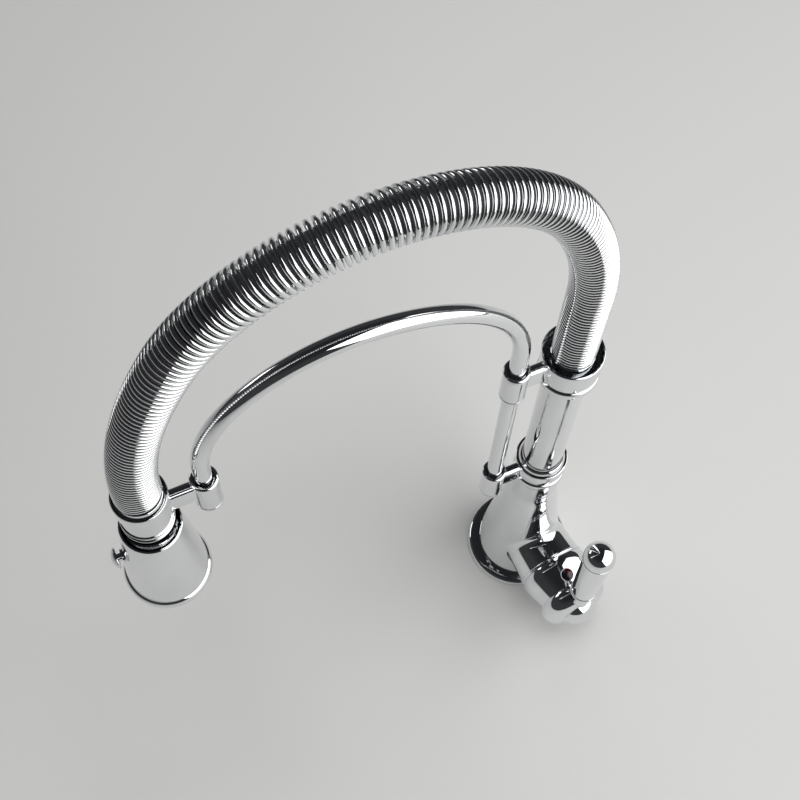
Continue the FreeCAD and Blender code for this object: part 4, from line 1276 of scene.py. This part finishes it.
@dataclass(kw_only=True)
class HandleFoot(LeverPiece):
    """Waisted neck out of the hub, a thin disc under the handle and a spigot up into it."""

    name: str = "handle_foot"
    node: str = "lever_neck"
    bottom: float = 15.0
    neck_radius: float = 6.0
    neck_start: float = 20.0
    neck_flare: Point = (0.3, 1.4)
    waist_radius: float = 5.3
    disc_radius: float = 8.3
    disc_height: float = 2.3
    disc_round: float = 0.5
    gap: float = 0.3

    def outline(self) -> Outline:
        """Draw the neck, the disc and the spigot.

        Returns:
            Their closed outline.
        """
        disc_top = self.foot - self.gap
        disc_bottom = disc_top - self.disc_height
        edge = self.disc_radius - self.disc_round
        spigot_top = self.foot + self.spigot_length
        return [
            (0.0, self.bottom), (self.neck_radius, self.bottom),
            (self.neck_radius, self.neck_start),
            (self.waist_radius, (self.neck_start + disc_bottom) / 2,
             self.neck_radius + self.neck_flare[0], disc_bottom - self.neck_flare[1]),
            (edge, disc_bottom), (self.disc_radius, (disc_top + disc_bottom) / 2, edge, disc_top),
            (self.spigot_radius, disc_top), (self.spigot_radius, spigot_top), (0.0, spigot_top),
        ]


@dataclass(kw_only=True)
class HandleShaft(LeverPiece):
    """Handle that widens towards its ball, bored for the spigots at both ends."""

    name: str = "handle_shaft"
    node: str = "lever_handle"
    foot_radius: float = 7.75
    foot_round: float = 0.8
    end_radius: float = 9.3
    end: float = 98.2

    def outline(self) -> Outline:
        """Draw the handle.

        Returns:
            Its closed outline.
        """
        bore_top = self.end - self.spigot_length
        bore_bottom = self.foot + self.spigot_length
        return [
            (self.spigot_radius, self.foot),
            *rounded((self.foot_radius, self.foot), self.foot_round, RIGHT, UP),
            (self.end_radius, self.end), (self.spigot_radius, self.end),
            (self.spigot_radius, bore_top), (0.0, bore_top), (0.0, bore_bottom),
            (self.spigot_radius, bore_bottom),
        ]


# Index plug in the cartridge cover


@dataclass
class IndexPlug:
    """Domed index plug in a thin bright bezel."""

    radius: float = 3.8
    fit: float = 0.05
    depth: float = 1.7
    dome: float = 1.4
    bezel_radius: float = 4.2
    bezel_proud: float = 0.3
    bezel_depth: float = 0.7
    seat_radius: float = 20.62
    seat_distance: float = 49.5
    lean: float = 15.4
    sides: int = 64

    def _seat(self) -> Matrix:
        """Place the plug in the tapered end of the cover on the side arm.

        Returns:
            Matrix of its seat.
        """
        turn = math.radians(ARM_TURN)
        c, s = math.cos(turn), math.sin(turn)
        arm = Matrix(((0, s, c, 0), (0, -c, s, 0), (1, 0, 0, ARM_HEIGHT * MM), (0, 0, 0, 1)))
        seat = Matrix.Translation((self.seat_radius * MM, 0, self.seat_distance * MM))
        return arm @ seat @ Matrix.Rotation(math.radians(90 - self.lean), 4, "Y")

    def _seated(self, name: str, outline: Outline) -> bpy.types.Object:
        """Turn an outline and put it in the seat.

        Args:
            name: Piece name.
            outline: Outline about the plug's own axis.

        Returns:
            The piece.
        """
        mesh = lathe(outline, self.sides)
        bmesh.ops.transform(mesh, matrix=self._seat(), verts=mesh.verts)
        piece = add_piece(name, mesh)
        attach(piece, Body.BASE.value)
        return piece

    def build(self, palette: Palette) -> None:
        """Make the plug and its bezel.

        Args:
            palette: Materials.
        """
        inner = self.radius - self.fit
        curve = (inner ** 2 + self.dome ** 2) / (2 * self.dome)
        half = math.asin(inner / curve) / 2
        middle = (curve * math.sin(half), self.dome - curve * (1 - math.cos(half)))
        plug = self._seated(
            "index_dome", [(0, -self.depth), (inner, -self.depth), (inner, 0),
                           (*middle, 0, self.dome)])
        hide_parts("index_button")
        palette.dress(plug, INDEX)
        crest = (self.radius + self.bezel_radius) / 2
        bezel = self._seated(
            "index_bezel", [(self.radius, -self.bezel_depth),
                            (self.bezel_radius, -self.bezel_depth), (self.bezel_radius, 0),
                            (crest, self.bezel_proud, self.radius, 0)])
        palette.dress(bezel, CHROME)


# Studio


@dataclass(frozen=True)
class Softbox:
    """Rectangular light that the camera itself doesn't see, in metres and watts."""

    name: str
    place: Triple
    target: Triple
    size: tuple[float, float]
    power: float
    mirrored: bool = True

    def hang(self) -> None:
        """Hang the light at its place, facing its target."""
        data = bpy.data.lights.new(self.name, "AREA")
        data.shape = "RECTANGLE"
        data.size, data.size_y = self.size
        data.energy = self.power
        light = bpy.data.objects.new(self.name, data)
        bpy.context.scene.collection.objects.link(light)
        light.visible_camera = False
        light.visible_glossy = self.mirrored
        way = (Vector(self.target) - Vector(self.place)).to_track_quat("-Z", "Y")
        light.matrix_world = Matrix.Translation(self.place) @ way.to_matrix().to_4x4()


@dataclass
class Studio:
    """Floor, lights and the camera at the photograph's angle.

    The camera's place is in millimetres, and the other lengths of the scene are in metres.
    """

    camera_place: Triple = (239.4, -211.6, 939.4)
    yaw: float = -26.35
    pitch: float = 66.66
    roll: float = 3.05
    lens: float = 65.7
    sensor_width: float = 36.0
    clip_start: float = 0.01
    floor_radius: float = 2.0
    floor_sides: int = 256
    floor_colour: Colour = (0.62, 0.62, 0.61)
    floor_shade: float = 0.97
    floor_roughness: float = 0.6
    drift_scale: float = 3.0
    drift_detail: float = 2.0
    room: tuple[tuple[float, Colour], ...] = (
        (0.0, (0.045, 0.045, 0.047)), (0.35, (0.042, 0.043, 0.046)), (0.85, (0.018, 0.019, 0.021)))
    softboxes: tuple[Softbox, ...] = (
        Softbox("key_box", (1.0, 1.15, 1.1), (0.0, -0.05, 0.2), (3.4, 2.4), 62.0),
        Softbox("low_card", (-1.5, -1.2, 0.6), (0.0, -0.1, 0.2), (0.7, 0.4), 2.0),
        Softbox("top_box", (-0.1, -0.03, 1.5), (-0.1, -0.03, 0.0), (0.8, 0.8), 11.0, False),
    )

    def build(self) -> None:
        """Set up everything around the mixer."""
        self._camera()
        self._floor()
        self._world()
        for softbox in self.softboxes:
            softbox.hang()
        bpy.context.scene.view_settings.view_transform = "Standard"

    def _camera(self) -> None:
        """Place the camera."""
        yaw, pitch, roll = (math.radians(angle) for angle in (self.yaw, self.pitch, self.roll))
        forward = Vector((
            -math.cos(pitch) * math.cos(yaw), -math.cos(pitch) * math.sin(yaw), -math.sin(pitch)))
        level = Vector((-math.sin(yaw), math.cos(yaw), 0.0))
        lift = level.cross(forward)
        right = level * math.cos(roll) + lift * math.sin(roll)
        up = lift * math.cos(roll) - level * math.sin(roll)
        data = bpy.data.cameras.new("photo_camera")
        data.lens = self.lens
        data.sensor_width = self.sensor_width
        data.clip_start = self.clip_start
        camera = bpy.data.objects.new("photo_camera", data)
        bpy.context.scene.collection.objects.link(camera)
        turn = Matrix((right, up, -forward)).transposed().to_4x4()
        camera.matrix_world = Matrix.Translation(Vector(self.camera_place) * MM) @ turn
        bpy.context.scene.camera = camera

    def _floor(self) -> None:
        """Lay a round pale floor at the worktop's height."""
        mesh = bmesh.new()
        bmesh.ops.create_circle(
            mesh, cap_ends=True, segments=self.floor_sides, radius=self.floor_radius)
        data = bpy.data.meshes.new("floor")
        mesh.to_mesh(data)
        mesh.free()
        floor = bpy.data.objects.new("floor", data)
        bpy.context.scene.collection.objects.link(floor)
        material = bpy.data.materials.new("pale_floor")
        material.use_nodes = True
        tree = material.node_tree
        shader = tree.nodes["Principled BSDF"]
        shader.inputs["Roughness"].default_value = self.floor_roughness
        shader.inputs["Specular IOR Level"].default_value = 0.0
        place = tree.nodes.new("ShaderNodeTexCoord").outputs["Object"]
        drift = add_noise(tree, place, self.drift_scale, self.drift_detail)
        shade = tuple(self.floor_shade * part for part in self.floor_colour)
        colour = mix_colours(tree, drift, self.floor_colour, shade)
        tree.links.new(colour, shader.inputs["Base Color"])
        data.materials.append(material)

    def _world(self) -> None:
        """Fill the room with a soft grey that darkens overhead."""
        world = bpy.data.worlds.new("studio_room")
        bpy.context.scene.world = world
        world.use_nodes = True
        nodes, links = world.node_tree.nodes, world.node_tree.links
        place = nodes.new("ShaderNodeTexCoord")
        parts = nodes.new("ShaderNodeSeparateXYZ")
        links.new(place.outputs["Generated"], parts.inputs["Vector"])
        ramp = nodes.new("ShaderNodeValToRGB")
        ramp.color_ramp.interpolation = "EASE"
        ramp.color_ramp.elements.new(1.0)
        for element, (height, colour) in zip(ramp.color_ramp.elements, self.room):
            element.position = height
            element.color = (*colour, 1.0)
        links.new(parts.outputs["Z"], ramp.inputs["Fac"])
        background = nodes["Background"]
        background.inputs["Strength"].default_value = 1.0
        links.new(ramp.outputs["Color"], background.inputs["Color"])


def main() -> None:
    """Dress the mixer, build its new pieces and set up the studio."""
    logging.basicConfig(level=logging.INFO, format="%(name)s: %(message)s")
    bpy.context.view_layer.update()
    Studio().build()
    palette = Palette()
    palette.dress_nodes()
    ArchSpring().build(palette)
    SupportRod().build(palette)
    FootCollar().build(palette)
    HeadCollar().build(palette)
    DockCollar().build(palette)
    Ferrule(
        name="rear_sleeve", node="rear_ferrule", seat=281.0, skirt_bottom=288.9,
        skirt_radius=12.3, head=SPRING_FOOT).build(palette)
    Ferrule(
        name="front_sleeve", node="front_ferrule", axis_y=-REACH, seat=DOCK_SEAT,
        skirt_bottom=328.3, skirt_radius=12.0, head=SPRING_FRONT).build(palette)
    for mount in MOUNTS:
        RodHolder(
            name=f"{mount.name}_holder", node=f"{mount.name}_bracket", axis_y=mount.rod_y,
            top=mount.holder_top, open_through=mount.open_through).build(palette)
        HolderBar(
            name=f"{mount.name}_bar", middle=mount.bar_middle, holder_y=mount.rod_y,
            collar_y=mount.collar_y, collar_radius=mount.collar_radius).build(palette)
    HandleFoot().build(palette)
    HandleShaft().build(palette)
    IndexPlug().build(palette)


if __name__ == "__main__":
    main()
